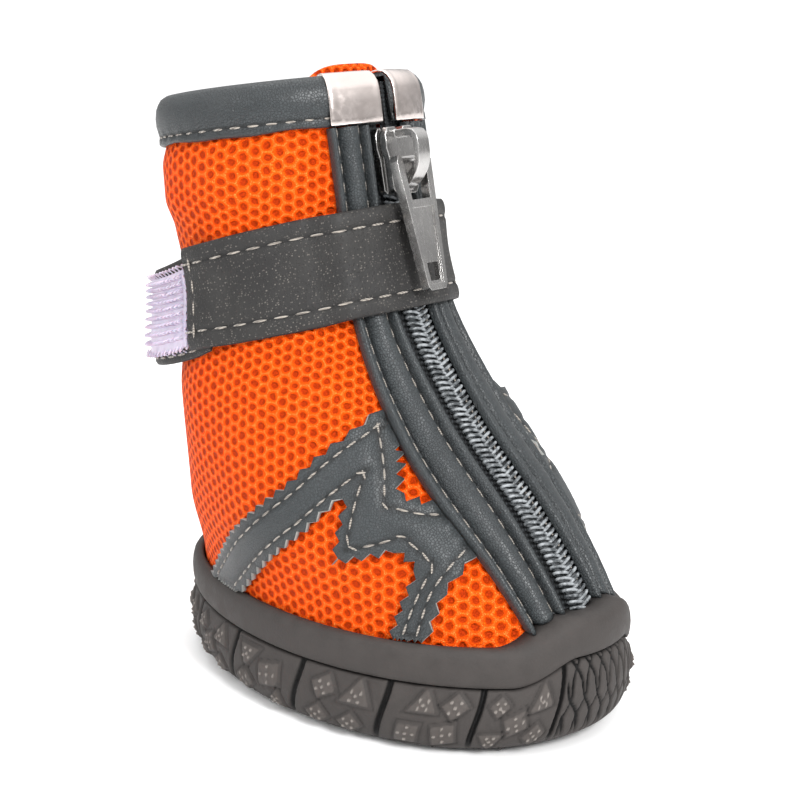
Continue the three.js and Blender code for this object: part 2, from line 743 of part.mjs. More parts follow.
// Strap: in degrees from the toe, from where it is sewn at the back's middle round the front
// to its free end. The tail comes round the other way, to end under the free end.
const strapEndAngle = -101;
const strapSewnAngle = 177;
const tailEndAngle = -92;
const tailSewnAngle = -177;
const strapMiddle = { front: 0.713, back: 0.653 }; // rise
const strapShare = (0.94 * strapWidth) / collarHeight;
const tailDrop = { least: 0.4, most: 2 }; // how much lower the tail hangs

function strapRise(degrees, t, drop = 0) {
  const share = (1 - Math.cos(THREE.MathUtils.degToRad(degrees))) / 2;
  const middle = mix(strapMiddle.front, strapMiddle.back, share);
  return middle - drop / collarHeight + (t - 0.5) * strapShare;
}

// Degrees that the facing reaches to, at the strap.
function facingReach() {
  const rise = strapMiddle.front - strapShare / 2;
  const half = columnAt(lastSections, "rise", "half", rise) * soleWidth;
  return THREE.MathUtils.radToDeg(Math.asin(facingHalf(rise) / half));
}

// It rides over the zip, lies on the mesh and passes over the tail at its free end.
function strapOut(degrees) {
  const zip = Math.max(coilLift + coilHeight, facingPuff) + 1.4 * fit;
  const slope = 12;
  const offZip = smoothStep((Math.abs(degrees) - facingReach() - 1) / slope);
  const onTail = degrees < 0 ? smoothStep((tailEndAngle + 1.2 * slope - degrees) / slope) : 0;
  return mix(zip, strapLift, offZip) + onTail * (leather + 1.4 * fit);
}

function strapPoint(t, degrees, side) {
  const out = strapOut(degrees) + (side === "outer" ? leather : 0);
  return lastPoint(strapRise(degrees, t), THREE.MathUtils.degToRad(degrees), out);
}

function tailPoint(t, degrees, above) {
  const along = (degrees - tailSewnAngle) / (tailEndAngle - tailSewnAngle);
  const bulge = tailBulge * Math.sin(Math.PI * Math.min(along * 1.12, 1)) ** 1.5;
  const drop = mix(tailDrop.least, tailDrop.most, Math.sin(Math.PI * along));
  const rise = strapRise(degrees, t, drop);
  return lastPoint(rise, THREE.MathUtils.degToRad(degrees), strapLift + bulge + above);
}

function makeStrap() {
  return gridSheet(steps(0, 1, 3), steps(strapEndAngle, strapSewnAngle, 44), strapPoint);
}

function makeTail() {
  return gridSheet(steps(0, 1, 3), steps(tailSewnAngle, tailEndAngle, 20), (t, degrees, side) =>
    tailPoint(t, degrees, side === "outer" ? leather : 0),
  );
}

const hookEdgeShare = 0.12; // the tail's own border beside the patch, as a share of its width
const hookFromAngle = -162;
const hookToAngle = -105;

function makeHookPatch() {
  const across = steps(hookEdgeShare, 1 - hookEdgeShare, 3);
  return gridSheet(across, steps(hookFromAngle, hookToAngle, 13), (t, degrees, side) =>
    tailPoint(t, degrees, leather + 1.5 * fit + (side === "outer" ? hookWall : 0)),
  );
}

// Side overlay, as an outline in the side view: y is a share of soleLength, z of the height
// from the rim to the collar. It runs on under the facing and is trimmed there.
const overlayOutline = [
  { y: -0.5, z: 0.475 },
  { y: -0.12, z: 0.475 },
  { y: -0.07, z: 0.36 },
  { y: 0, z: 0.265 },
  { y: 0.13, z: 0.14 },
  { y: 0.28, z: 0 },
  { y: 0.15, z: 0 },
  { y: 0.03, z: 0.1 },
  { y: -0.05, z: 0.175 },
  { y: -0.1, z: 0.24 },
  { y: -0.105, z: 0.12 },
  { y: -0.18, z: 0.14 },
  { y: -0.2, z: 0.15 },
  { y: -0.235, z: 0.12 },
  { y: -0.21, z: 0 },
  { y: -0.28, z: 0 },
  { y: -0.29, z: 0.08 },
  { y: -0.31, z: 0.145 },
  { y: -0.5, z: 0.145 },
];
const overlayWindow = [
  { y: -0.14, z: 0.34 },
  { y: -0.16, z: 0.3 },
  { y: -0.18, z: 0.25 },
  { y: -0.22, z: 0.24 },
  { y: -0.5, z: 0.24 },
  { y: -0.5, z: 0.34 },
];
const overlayRises = [0.16, 0.19, 0.23, 0.28, 0.33, 0.39, 0.46, 0.53, 0.6];

// The outline drawn out along X, on one side of the boot.
function sidePrism(outline, side) {
  const foot = wallTop + 2 * fit;
  const corners = outline.map(({ y, z }) => [y * soleLength, mix(foot, collarHeight, z)]);
  const low = side > 0 ? 0 : -soleWidth;
  const [x, y, z] = [0, 1, 2].map((axis) => new THREE.Vector3().setComponent(axis, 1));
  const turn = new THREE.Matrix4().makeBasis(y, z, x);
  return solidFrom(prism(corners, low, low + soleWidth).applyMatrix4(turn));
}

// The room that the facings take, with their gap.
function facingRoom() {
  const room = gridSheet(steps(0.14, 0.66, 14), steps(-1, 1, 7), (rise, s, side) => {
    const half = facingHalf(rise) + fit;
    return frontPoint(rise, s * half, side === "outer" ? 2 * facingPuff : -upperWall / 2);
  });
  return solidFrom(room);
}

function makeOverlay(side) {
  const shell = lastSolid(overlayRises, fit + leather).subtract(lastSolid(overlayRises, fit));
  const outline = sidePrism(overlayOutline, side).subtract(sidePrism(overlayWindow, side));
  return geometryFrom(shell.intersect(outline).subtract(facingRoom()));
}

addPiece("outsole", makeOutsole(), rubberLook);
addPiece("insole", makeInsole(), foamLook);
addPiece("upper", makeUpper(), airMeshLook);
addPiece("tongue", makeTongue(), airMeshLook);
addPiece("collar_binding", makeBinding(), leatheretteLook);
addPiece("zip_tape", makeTape(), tapeLook);
addPiece("zip_coil", makeCoil(), tapeLook);
addPiece("zip_slider", makeSlider(), nickelLook);
addPiece("pull_tab", makeTab().applyMatrix4(tabFrame()), nickelLook);
addPiece("strap", makeStrap(), webbingLook);
addPiece("strap_tail", makeTail(), webbingLook);
addPiece("hook_patch", makeHookPatch(), hookLook);
for (const [name, side] of [["right", -1], ["left", 1]]) {
  addPiece(`clip_${name}`, makeClip(side), nickelLook);
  addPiece(`facing_${name}`, makeFacing(side), leatheretteLook);
  addPiece(`overlay_${name}`, makeOverlay(side), leatheretteLook);
}

export default boot;
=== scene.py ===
# A small dog's zip boot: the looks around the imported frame
# Shapes are worked out in millimetres and turned to metres when a mesh is made

import math

import bpy
import numpy as np
from mathutils import Matrix, Vector
from mathutils.geometry import delaunay_2d_cdt


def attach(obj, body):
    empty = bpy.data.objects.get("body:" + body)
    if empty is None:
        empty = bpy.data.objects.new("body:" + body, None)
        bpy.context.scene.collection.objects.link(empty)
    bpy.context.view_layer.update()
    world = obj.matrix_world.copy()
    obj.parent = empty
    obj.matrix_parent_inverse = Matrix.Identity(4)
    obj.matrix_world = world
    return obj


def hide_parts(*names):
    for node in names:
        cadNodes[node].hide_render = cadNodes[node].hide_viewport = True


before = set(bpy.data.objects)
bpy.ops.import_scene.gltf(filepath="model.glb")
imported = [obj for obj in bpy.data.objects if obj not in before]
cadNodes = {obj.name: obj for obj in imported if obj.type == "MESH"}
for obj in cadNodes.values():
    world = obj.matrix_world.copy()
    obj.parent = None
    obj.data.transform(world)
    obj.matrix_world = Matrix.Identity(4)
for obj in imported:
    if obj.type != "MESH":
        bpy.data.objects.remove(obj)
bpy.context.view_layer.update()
millimetre = 0.001

boot = {
    "soleLength": 77.0,
    "soleWidth": 50.0,
    "heelTaper": 0.17,
    "collarHeight": 85.0,
    "wall": 2.0,
    "leather": 0.9,
    "fit": 0.3,
    "bindingHeight": 5.9,
}

# sections of the last: rise is a share of collarHeight, half of soleWidth, front and back of
# soleLength; taper narrows the heel, slope lifts the front in degrees
lastShape = {
    "rise": [0.04, 0.15, 0.23, 0.33, 0.46, 0.59, 0.7, 0.82, 1],
    "half": [0.445, 0.45, 0.452, 0.45, 0.435, 0.408, 0.382, 0.395, 0.38],
    "front": [0.456, 0.46, 0.415, 0.322, 0.172, 0.058, 0.01, -0.012, -0.047],
    "back": [0.456, 0.46, 0.462, 0.46, 0.455, 0.447, 0.446, 0.472, 0.49],
    "taper": [0.17, 0.16, 0.12, 0.08, 0.04, 0, 0, 0, 0],
    "slope": [0, 0, 0, 1, 3, 6, 7, 8, 8],
}


# smooth curve through one column of a table, at the places in at
def columnAt(table, key, column, at):
    rises = np.array(table[key], float)
    values = np.array(table[column], float)
    i = np.clip(np.searchsorted(rises, at, side="right") - 1, 0, len(rises) - 2)
    before = np.maximum(i - 1, 0)
    after = np.minimum(i + 2, len(rises) - 1)
    span = rises[i + 1] - rises[i]
    t = (at - rises[i]) / span
    startSlope = (values[i + 1] - values[before]) / (rises[i + 1] - rises[before])
    endSlope = (values[after] - values[i]) / (rises[after] - rises[i])
    stay = 2 * t**3 - 3 * t**2 + 1
    leave = t**3 - 2 * t**2 + t
    arrive = t**3 - t**2
    first = stay * values[i] + leave * startSlope * span
    return first + (1 - stay) * values[i + 1] + arrive * endSlope * span


def smoothStep(t):
    s = np.clip(t, 0, 1)
    return s * s * (3 - 2 * s)


def mix(a, b, t):
    return a + (b - a) * t


# bell curve: 1 at the middle, about a third at one width beside it
def hump(at, middle, width):
    return np.exp(-(((at - middle) / width) ** 2))


# bare surface of the last; angle is 0 at the toe and grows towards +X
def lastForm(rise, angle):
    rise, angle = np.broadcast_arrays(np.asarray(rise, float), np.asarray(angle, float))
    half = columnAt(lastShape, "rise", "half", rise) * boot["soleWidth"]
    front = columnAt(lastShape, "rise", "front", rise) * boot["soleLength"]
    back = columnAt(lastShape, "rise", "back", rise) * boot["soleLength"]
    taper = columnAt(lastShape, "rise", "taper", rise)
    lean = np.tan(np.radians(columnAt(lastShape, "rise", "slope", rise)))
    middle = (back - front) / 2
    share = (1 - np.cos(angle)) / 2
    x = half * np.sin(angle) * (1 - taper * share**2)
    y = middle - (back + front) / 2 * np.cos(angle)
    z = rise * boot["collarHeight"] + lean * (middle - y)
    return np.stack([x, y, z], -1)


def unit(vectors):
    return vectors / np.maximum(np.linalg.norm(vectors, axis=-1, keepdims=True), 1e-9)


def lastNormal(rise, angle):
    step = 1e-3
    across = lastForm(rise, angle + step) - lastForm(rise, angle - step)
    up = lastForm(rise + step, angle) - lastForm(rise - step, angle)
    return unit(np.cross(across, up))


def lastPoint(rise, angle, out=0.0):
    rise, angle, out = np.broadcast_arrays(*[np.asarray(v, float) for v in (rise, angle, out)])
    return lastForm(rise, angle) + lastNormal(rise, angle) * out[..., None]


# line of a seam with the surface's normals beside it
def seamPath(rise, angle, out):
    return lastPoint(rise, angle, out), lastNormal(rise, angle)


def halfWidth(rise):
    return columnAt(lastShape, "rise", "half", rise) * boot["soleWidth"]


# angle of the front line that runs x beside the middle
def frontAngle(rise, x):
    return np.arcsin(np.clip(x / halfWidth(rise), -1, 1))


def frontPoint(rise, x, out=0.0):
    return lastPoint(rise, frontAngle(rise, x), out)


def riseOf(z, x=0.0):
    rise = np.asarray(z, float) / boot["collarHeight"]
    for _ in range(8):
        rise = rise + (z - frontPoint(rise, x)[..., 2]) / boot["collarHeight"]
    return rise


# rise and angle of the surface point that a side view shows at y, z
def sidePlace(y, z, side):
    rise = np.asarray(z, float) / boot["collarHeight"]
    for _ in range(12):
        front = columnAt(lastShape, "rise", "front", rise) * boot["soleLength"]
        back = columnAt(lastShape, "rise", "back", rise) * boot["soleLength"]
        lean = np.tan(np.radians(columnAt(lastShape, "rise", "slope", rise)))
        rise = (z - lean * ((back - front) / 2 - y)) / boot["collarHeight"]
    share = ((back - front) / 2 - y) / ((back + front) / 2)
    return rise, side * np.arccos(np.clip(share, -0.999, 0.999))


facing = {
    "widest": 11.6,
    "rise": [0.16, 0.28, 0.38, 0.5, 0.65, 1],
    "half": [0.74, 0.88, 1, 0.95, 0.83, 0.8],
    "inner": 3.4,
    "puff": 1.5,
    "pucker": 0.16,
    "under": 0.42,
    "pitch": 2.5,
    "stitches": [0.24, 0.78],
    "stations": 150,
    "columns": 56,
}


def facingHalf(rise):
    return facing["widest"] * columnAt(facing, "rise", "half", rise)


# how far the mesh cloth bellies out above and below the strap, and between which rises
bulge = {
    "top": 0.9,
    "topRises": (0.795, 0.945),
    "topFade": 0.05,
    "low": 1.0,
    "lowRises": (0.2, 0.625),
    "lowFade": 0.12,
    "edge": 4.0,
    "ripples": (0.12, 0.1),
}


def bulgeShare(rise, rises, fade):
    return smoothStep((rise - rises[0]) / fade) * smoothStep((rises[1] - rise) / fade)


def upperOut(rise, angle):
    top = bulgeShare(rise, bulge["topRises"], bulge["topFade"])
    low = bulgeShare(rise, bulge["lowRises"], bulge["lowFade"])
    x = np.abs(lastForm(rise, angle)[..., 0])
    front = smoothStep((x - facingHalf(rise) - 0.6) / bulge["edge"])
    side = np.where(np.cos(angle) > 0, front, 1.0)
    broad, fine = bulge["ripples"]
    ripple = broad * np.sin(5 * angle + 9 * rise) + fine * np.sin(11 * angle - 17 * rise)
    return (top * bulge["top"] + low * bulge["low"]) * side + (top + low) * side * ripple


def clothPoint(rise, angle, out=0.0):
    return lastPoint(rise, angle, upperOut(rise, angle) + out)


print("form of the last: ready")


# meshes
def newObject(name, data):
    made = bpy.data.objects.new(name, data)
    bpy.context.scene.collection.objects.link(made)
    return made


def signedVolume(points, faces):
    total = 0.0
    for face in faces:
        for i in range(1, len(face) - 1):
            a, b, c = points[face[0]], points[face[i]], points[face[i + 1]]
            total += float(np.dot(a, np.cross(b, c)))
    return total


def meshFrom(name, points, faces, uv=None, smooth=True, outward=None):
    points = np.asarray(points, float).reshape(-1, 3)
    if outward is None and signedVolume(points, faces) < 0:
        faces = [face[::-1] for face in faces]
    if outward is not None and not outward:
        faces = [face[::-1] for face in faces]
    mesh = bpy.data.meshes.new(name)
    mesh.from_pydata((points * millimetre).tolist(), [], faces)
    if uv is not None:
        layer = mesh.uv_layers.new(name="UVMap")
        flat = np.asarray(uv, float).reshape(-1, 2)
        corners = np.empty(len(mesh.loops), np.int32)
        mesh.loops.foreach_get("vertex_index", corners)
        layer.data.foreach_set("uv", flat[corners].astype(np.float32).ravel())
    mesh.update()
    if smooth:
        mesh.shade_smooth()
    return newObject(name, mesh)


def gridFaces(rows, columns, roundColumns=False):
    faces = []
    for i in range(rows - 1):
        for j in range(columns if roundColumns else columns - 1):
            following = (j + 1) % columns
            low, high = i * columns, (i + 1) * columns
            faces.append([low + j, low + following, high + following, high + j])
    return faces


# both end faces of a tube of rings with as many points each
def endFaces(rings, size):
    return [list(range(size))[::-1], [(rings - 1) * size + j for j in range(size)]]


# lengths in millimetres along the rows and the columns of a grid of points
def gridLengths(grid):
    along = np.linalg.norm(np.diff(grid, axis=0), axis=-1)
    across = np.linalg.norm(np.diff(grid, axis=1), axis=-1)
    v = np.concatenate([np.zeros((1, grid.shape[1])), np.cumsum(along, 0)], 0)
    u = np.concatenate([np.zeros((grid.shape[0], 1)), np.cumsum(across, 1)], 1)
    return u, v


def setShare(made, name, values):
    attribute = made.data.attributes.new(name, "FLOAT", "POINT")
    flat = np.zeros(len(made.data.vertices), np.float32)
    values = np.asarray(values, np.float32).ravel()
    flat[:len(values)] = values
    attribute.data.foreach_set("value", flat)


# closed band: stations along it, each a closed profile of points, with both ends filled
def sweepMesh(name, stations):
    count, size = stations.shape[:2]
    faces = gridFaces(count, size, roundColumns=True) + endFaces(count, size)
    u, v = gridLengths(stations)
    return meshFrom(name, stations, faces, uv=np.stack([u, v], -1))


def addModifier(made, kind, **settings):
    modifier = made.modifiers.new(kind.title(), kind)
    for name, value in settings.items():
        setattr(modifier, name, value)
    return modifier


# the object's modifiers, turned into its mesh
def applyAll(made):
    bpy.context.view_layer.update()
    graph = bpy.context.evaluated_depsgraph_get()
    shaped = made.evaluated_get(graph)
    mesh = bpy.data.meshes.new_from_object(shaped, preserve_all_data_layers=True, depsgraph=graph)
    made.modifiers.clear()
    made.data = mesh
    return made


def joinInto(made, others):
    with bpy.context.temp_override(active_object=made, selected_editable_objects=[made, *others]):
        bpy.ops.object.join()
    return made


# nodes of materials and of geometry
def addNode(tree, kind, settings=None, inputs=None):
    node = tree.nodes.new(kind)
    for name, value in (settings or {}).items():
        setattr(node, name, value)
    for key, value in (inputs or {}).items():
        socket = node.inputs[key]
        if isinstance(value, bpy.types.NodeSocket):
            tree.links.new(value, socket)
        else:
            socket.default_value = value
    return node


def fromHex(text):
    values = [int(text[i:i + 2], 16) / 255 for i in (1, 3, 5)]
    linear = [v / 12.92 if v <= 0.04045 else ((v + 0.055) / 1.055) ** 2.4 for v in values]
    return (*linear, 1.0)


def newMaterial(name, sockets):
    material = bpy.data.materials.new(name)
    material.use_nodes = True
    tree = material.node_tree
    shader = tree.nodes["Principled BSDF"]
    for key, value in sockets.items():
        shader.inputs[key].default_value = value
    return material, tree, shader


def mathNode(tree, operation, a, b):
    return addNode(tree, "ShaderNodeMath", {"operation": operation}, {0: a, 1: b}).outputs[0]


def vectorNode(tree, operation, a, b=(0, 0, 0)):
    node = addNode(tree, "ShaderNodeVectorMath", {"operation": operation}, {0: a, 1: b})
    return node.outputs["Value" if operation == "LENGTH" else "Vector"]


def scaledNode(tree, vector, factor):
    inputs = {0: vector, "Scale": factor}
    return addNode(tree, "ShaderNodeVectorMath", {"operation": "SCALE"}, inputs).outputs[0]


def mapNode(tree, value, low, high, toLow=0.0, toHigh=1.0):
    settings = {"interpolation_type": "SMOOTHSTEP"}
    inputs = {0: value, 1: low, 2: high, 3: toLow, 4: toHigh}
    return addNode(tree, "ShaderNodeMapRange", settings, inputs).outputs[0]


def colourMix(tree, factor, low, high):
    low = fromHex(low) if isinstance(low, str) else low
    high = fromHex(high) if isinstance(high, str) else high
    node = addNode(tree, "ShaderNodeMix", {"data_type": "RGBA"}, {0: factor, 6: low, 7: high})
    return node.outputs[2]


def noiseNode(tree, vector, scale, detail=3.0, roughness=0.55):
    inputs = {"Vector": vector, "Scale": scale, "Detail": detail, "Roughness": roughness}
    return addNode(tree, "ShaderNodeTexNoise", {}, inputs).outputs["Fac"]


# distance to the nearest edge of a net of irregular cells
def crackNode(tree, vector, scale):
    settings = {"feature": "DISTANCE_TO_EDGE"}
    net = addNode(tree, "ShaderNodeTexVoronoi", settings, {"Vector": vector, "Scale": scale})
    return net.outputs["Distance"]


def waveNode(tree, direction, vector, scale, **inputs):
    settings = {"bands_direction": direction}
    wave = addNode(tree, "ShaderNodeTexWave", settings, {"Vector": vector, "Scale": scale, **inputs})
    return wave.outputs["Fac"]


def feed(shader, name, socket):
    shader.id_data.links.new(socket, shader.inputs[name])


# material whose colour clouds between two shades, at a scale in cells per metre
def cloudedMaterial(name, sockets, scale, dark, light):
    material, tree, shader = newMaterial(name, sockets)
    shade = noiseNode(tree, place(tree), scale, 3.0)
    feed(shader, "Base Color", colourMix(tree, shade, dark, light))
    return material, tree, shader, shade


def bumpOn(tree, shader, height, depth):
    inputs = {"Height": height, "Distance": depth * millimetre, "Strength": 1.0}
    feed(shader, "Normal", addNode(tree, "ShaderNodeBump", {}, inputs).outputs[0])


# 1 in the sewn grooves, whose shade is painted dark into the colour, and 0 elsewhere
def paintedSeamShade(tree):
    return addNode(tree, "ShaderNodeAttribute", {"attribute_name": "seam"}).outputs["Fac"]


def pieceLength(tree):
    return addNode(tree, "ShaderNodeUVMap", {"uv_map": "UVMap"}).outputs[0]


def place(tree):
    return addNode(tree, "ShaderNodeTexCoord").outputs["Object"]


# the same place, counted in millimetres
def finePlace(tree):
    return scaledNode(tree, place(tree), 1 / millimetre)


# distance to the nearest point of a honeycomb of points, in shares of its pitch
def honeycomb(tree, vector):
    cell = (1.0, math.sqrt(3), 1.0)
    centre = (0.5, math.sqrt(3) / 2, 0.0)
    distances = []
    for shift in ((200.0, 200 * math.sqrt(3), 0.0), (200.5, 200.5 * math.sqrt(3), 0.0)):
        moved = vectorNode(tree, "ADD", vector, shift)
        local = vectorNode(tree, "SUBTRACT", vectorNode(tree, "MODULO", moved, cell), centre)
        distances.append(vectorNode(tree, "LENGTH", vectorNode(tree, "MULTIPLY", local, (1, 1, 0))))
    return mathNode(tree, "MINIMUM", *distances)


# warp-knitted polyester spacer mesh, dyed in the piece: glossy yarns round open cells, which are
# painted darker as shade, with a painted highlight on the yarns' ridges; the cells' pitch across and along
# is in millimetres
meshCell = {"across": 1.65, "along": 1.8}


def makeAirMesh():
    material, tree, shader = newMaterial("knitted polyester air mesh", {
        "Roughness": 0.62, "Specular IOR Level": 0.08})
    length = pieceLength(tree)
    cells = vectorNode(tree, "MULTIPLY", length, (1 / meshCell["across"], 1 / meshCell["along"], 0))
    wander = addNode(tree, "ShaderNodeTexNoise", {}, {"Vector": length, "Scale": 0.35, "Detail": 2.0})
    shift = vectorNode(tree, "SUBTRACT", wander.outputs["Color"], (0.5, 0.5, 0.5))
    bent = vectorNode(tree, "MULTIPLY_ADD", shift, (0.5, 0.5, 0))
    tree.links.new(cells, bent.node.inputs[2])
    away = honeycomb(tree, bent)
    fine = noiseNode(tree, length, 7.0, 2.0)
    stray = mathNode(tree, "MULTIPLY", noiseNode(tree, length, 1.1, 2.0), 0.26)
    loose = mathNode(tree, "ADD", away, stray)
    yarn = mapNode(tree, loose, 0.28, 0.5)
    fibre = mapNode(tree, crackNode(tree, length, 3.4), 0.0, 0.16)
    uneven = noiseNode(tree, length, 0.16, 3.0)
    ground = colourMix(tree, fibre, "#F04800", "#FF5C06")
    lit = colourMix(tree, mapNode(tree, uneven, 0.35, 0.7), ground, "#FF5204")
    # painted highlight: a pale orange laid on the yarns' ridges
    paintedCrestHighlight = mathNode(tree, "MULTIPLY", mapNode(tree, away, 0.4, 0.54), mapNode(tree, fine, 0.42, 0.66))
    top = colourMix(tree, paintedCrestHighlight, lit, "#FF9E4A")
    # painted shade: the open cells are painted dark orange
    feed(shader, "Base Color", colourMix(tree, yarn, "#B83400", top))
    height = mathNode(tree, "ADD", yarn, mathNode(tree, "MULTIPLY", fibre, 0.22))
    height = mathNode(tree, "ADD", height, mathNode(tree, "MULTIPLY", fine, 0.18))
    bumpOn(tree, shader, height, 0.6)
    return material


# brushed tricot, the inner face of the same mesh: matt, with short loops
def makeLining():
    material, tree, shader = newMaterial("brushed tricot lining", {"Roughness": 0.9, "Sheen Weight": 0.35})
    length = pieceLength(tree)
    loops = addNode(tree, "ShaderNodeTexVoronoi", {}, {"Vector": length, "Scale": 1.6}).outputs["Distance"]
    pile = noiseNode(tree, length, 4.0, 4.0)
    feed(shader, "Base Color", colourMix(tree, mapNode(tree, pile, 0.3, 0.7), "#A83404", "#E2530E"))
    bumpOn(tree, shader, mathNode(tree, "ADD", loops, pile), 0.25)
    return material


# polyurethane-coated cloth: embossed grain about 0.6 mm wide, satin, a little worn
def makeLeatherette():
    material, tree, shader = newMaterial("embossed polyurethane leatherette", {
        "Roughness": 0.42, "Specular IOR Level": 0.4, "Coat Weight": 0.12, "Coat Roughness": 0.4})
    where = finePlace(tree)
    cells = mapNode(tree, crackNode(tree, where, 2.6), 0.0, 0.16)
    fine = noiseNode(tree, where, 2.6, 4.0)
    broad = noiseNode(tree, where, 0.09, 4.0, 0.6)
    wearAndPaintedLight = colourMix(tree, mapNode(tree, broad, 0.3, 0.72), "#2B2F31", "#383D3F")
    coat = colourMix(tree, mapNode(tree, fine, 0.35, 0.75), wearAndPaintedLight, "#323739")
    grained = colourMix(tree, cells, "#25282A", coat)
    # painted shade: the sewn grooves are painted near black
    feed(shader, "Base Color", colourMix(tree, paintedSeamShade(tree), grained, "#0B0C0C"))
    feed(shader, "Roughness", mapNode(tree, broad, 0.2, 0.8, 0.36, 0.5))
    height = mathNode(tree, "ADD", cells, mathNode(tree, "MULTIPLY", fine, 0.6))
    bumpOn(tree, shader, height, 0.07)
    return material


# cut edge of the same coated cloth: the pale knitted backing shows, a little frayed
def makeCutEdge():
    return cloudedMaterial("cut edge of coated cloth", {"Roughness": 0.85}, 1500.0, "#6E7473", "#B4B3AE")[0]


# reflective band: glass beads in a dark coating, whose sparkle is painted into the colour as fine light
# specks (painted glints)
def makeBand():
    material, tree, shader = newMaterial("glass-beaded reflective webbing", {
        "Roughness": 0.6, "Specular IOR Level": 0.35})
    length = pieceLength(tree)
    beads = addNode(tree, "ShaderNodeTexVoronoi", {}, {"Vector": length, "Scale": 3.2, "Randomness": 1.0})
    speck = mapNode(tree, beads.outputs["Distance"], 0.12, 0.5, 1.0, 0.0)
    pick = addNode(tree, "ShaderNodeSeparateColor", {}, {0: beads.outputs["Color"]}).outputs[0]
    # painted glints: a random share of the beads is painted as light specks
    bright = mathNode(tree, "MULTIPLY", speck, mapNode(tree, pick, 0.5, 1.0))
    broad = noiseNode(tree, length, 0.12, 3.0)
    ground = colourMix(tree, mapNode(tree, broad, 0.3, 0.7), "#201F1F", "#292827")
    withPaintedGlints = colourMix(tree, bright, ground, "#66625D")
    # painted shade: the sewn grooves are painted near black
    feed(shader, "Base Color", colourMix(tree, paintedSeamShade(tree), withPaintedGlints, "#100F0F"))
    bumpOn(tree, shader, mathNode(tree, "ADD", speck, noiseNode(tree, length, 1.5)), 0.06)
    return material


# polyester zip tape: dark twill, ribs about 0.5 mm apart
def makeTapeCloth():
    material, tree, shader = newMaterial("woven polyester zip tape", {"Roughness": 0.85})
    where = finePlace(tree)
    turned = addNode(tree, "ShaderNodeMapping", {}, {"Vector": where, "Rotation": (0.0, 0.0, 0.6)})
    ribs = waveNode(tree, "X", turned.outputs[0], 0.62, Distortion=0.6, Detail=1.0)
    weft = waveNode(tree, "Z", where, 0.5, Distortion=0.4)
    weave = mathNode(tree, "MULTIPLY", ribs, weft)
    feed(shader, "Base Color", colourMix(tree, weave, "#17191B", "#3C4043"))
    bumpOn(tree, shader, weave, 0.15)
    return material


# nylon monofilament, heat-set into a coil: charcoal, smooth and a little translucent
def makeCoilNylon():
    material, tree, shader = newMaterial("heat-set nylon coil", {"Roughness": 0.28, "IOR": 1.53})
    where = place(tree)
    shade = noiseNode(tree, where, 900.0, 2.0)
    feed(shader, "Base Color", colourMix(tree, mapNode(tree, shade, 0.35, 0.65), "#3A3E41", "#8E9295"))
    feed(shader, "Roughness", mapNode(tree, shade, 0.3, 0.7, 0.22, 0.38))
    return material


# die-cast zinc, tumbled and nickel plated: grey with soft highlights and fine scratches
def makeZinc():
    material, tree, shader, _ = cloudedMaterial(
        "nickel-plated die-cast zinc", {"Metallic": 1.0, "Roughness": 0.3}, 260.0, "#9A9998", "#C8C6C4")
    stretched = addNode(tree, "ShaderNodeMapping", {}, {
        "Vector": place(tree), "Scale": (1500.0, 500.0, 400.0)})
    scratch = noiseNode(tree, stretched.outputs[0], 1.0, 5.0, 0.7)
    feed(shader, "Roughness", mapNode(tree, scratch, 0.3, 0.75, 0.2, 0.32))
    bumpOn(tree, shader, scratch, 0.004)
    return material


# pressed steel, bright nickel plated: nearly a mirror, with a warm cast
def makeBrightNickel():
    material, tree, shader, dent = cloudedMaterial(
        "bright nickel-plated steel", {"Metallic": 1.0, "Roughness": 0.16}, 180.0, "#E3D6D0", "#F4EAE6")
    dull = noiseNode(tree, place(tree), 900.0)
    feed(shader, "Roughness", mapNode(tree, dull, 0.3, 0.7, 0.12, 0.24))
    bumpOn(tree, shader, dent, 0.12)
    return material


# moulded thermoplastic rubber: matt and a little dusty, with a painted highlight on what stands out and
# painted shade in the grooves
def makeRubber():
    material, tree, shader = newMaterial("moulded thermoplastic rubber", {
        "Roughness": 0.72, "Specular IOR Level": 0.35})
    relief = addNode(tree, "ShaderNodeAttribute", {"attribute_name": "relief"}).outputs["Fac"]
    where = finePlace(tree)
    dust = noiseNode(tree, where, 0.35, 5.0, 0.65)
    skin = noiseNode(tree, where, 3.0, 3.0)
    body = colourMix(tree, mapNode(tree, dust, 0.3, 0.7), "#312D2B", "#3C3836")
    # painted highlight: the raised patches are painted lighter, and their dots lighter still
    wearAndPaintedLight = colourMix(tree, mapNode(tree, relief, 0.1, 0.3), body, "#47423F")
    raised = colourMix(tree, mapNode(tree, relief, 0.34, 0.56), wearAndPaintedLight, "#79736E")
    # painted shade: the relief's grooves and dips are painted near black
    feed(shader, "Base Color", colourMix(tree, mapNode(tree, relief, -0.5, -0.04), "#0A0909", raised))
    feed(shader, "Roughness", mapNode(tree, dust, 0.3, 0.7, 0.6, 0.82))
    bumpOn(tree, shader, mathNode(tree, "ADD", skin, dust), 0.06)
    return material


# nylon hook tape, undyed: small stiff hooks on a woven ground
def makeHookNylon():
    sockets = {"Roughness": 0.45, "Subsurface Weight": 0.15, "Subsurface Scale": 0.6 * millimetre}
    return cloudedMaterial("undyed nylon hook tape", sockets, 700.0, "#A89DB4", "#D8D0DE")[0]


# spun polyester sewing thread: light grey, two plies twisted
def makeThread():
    material, tree, shader = newMaterial("spun polyester thread", {"Roughness": 0.7, "Sheen Weight": 0.3})
    where = finePlace(tree)
    twist = waveNode(tree, "DIAGONAL", where, 1.3)
    feed(shader, "Base Color", colourMix(tree, twist, "#635D57", "#A39B91"))
    bumpOn(tree, shader, twist, 0.06)
    return material


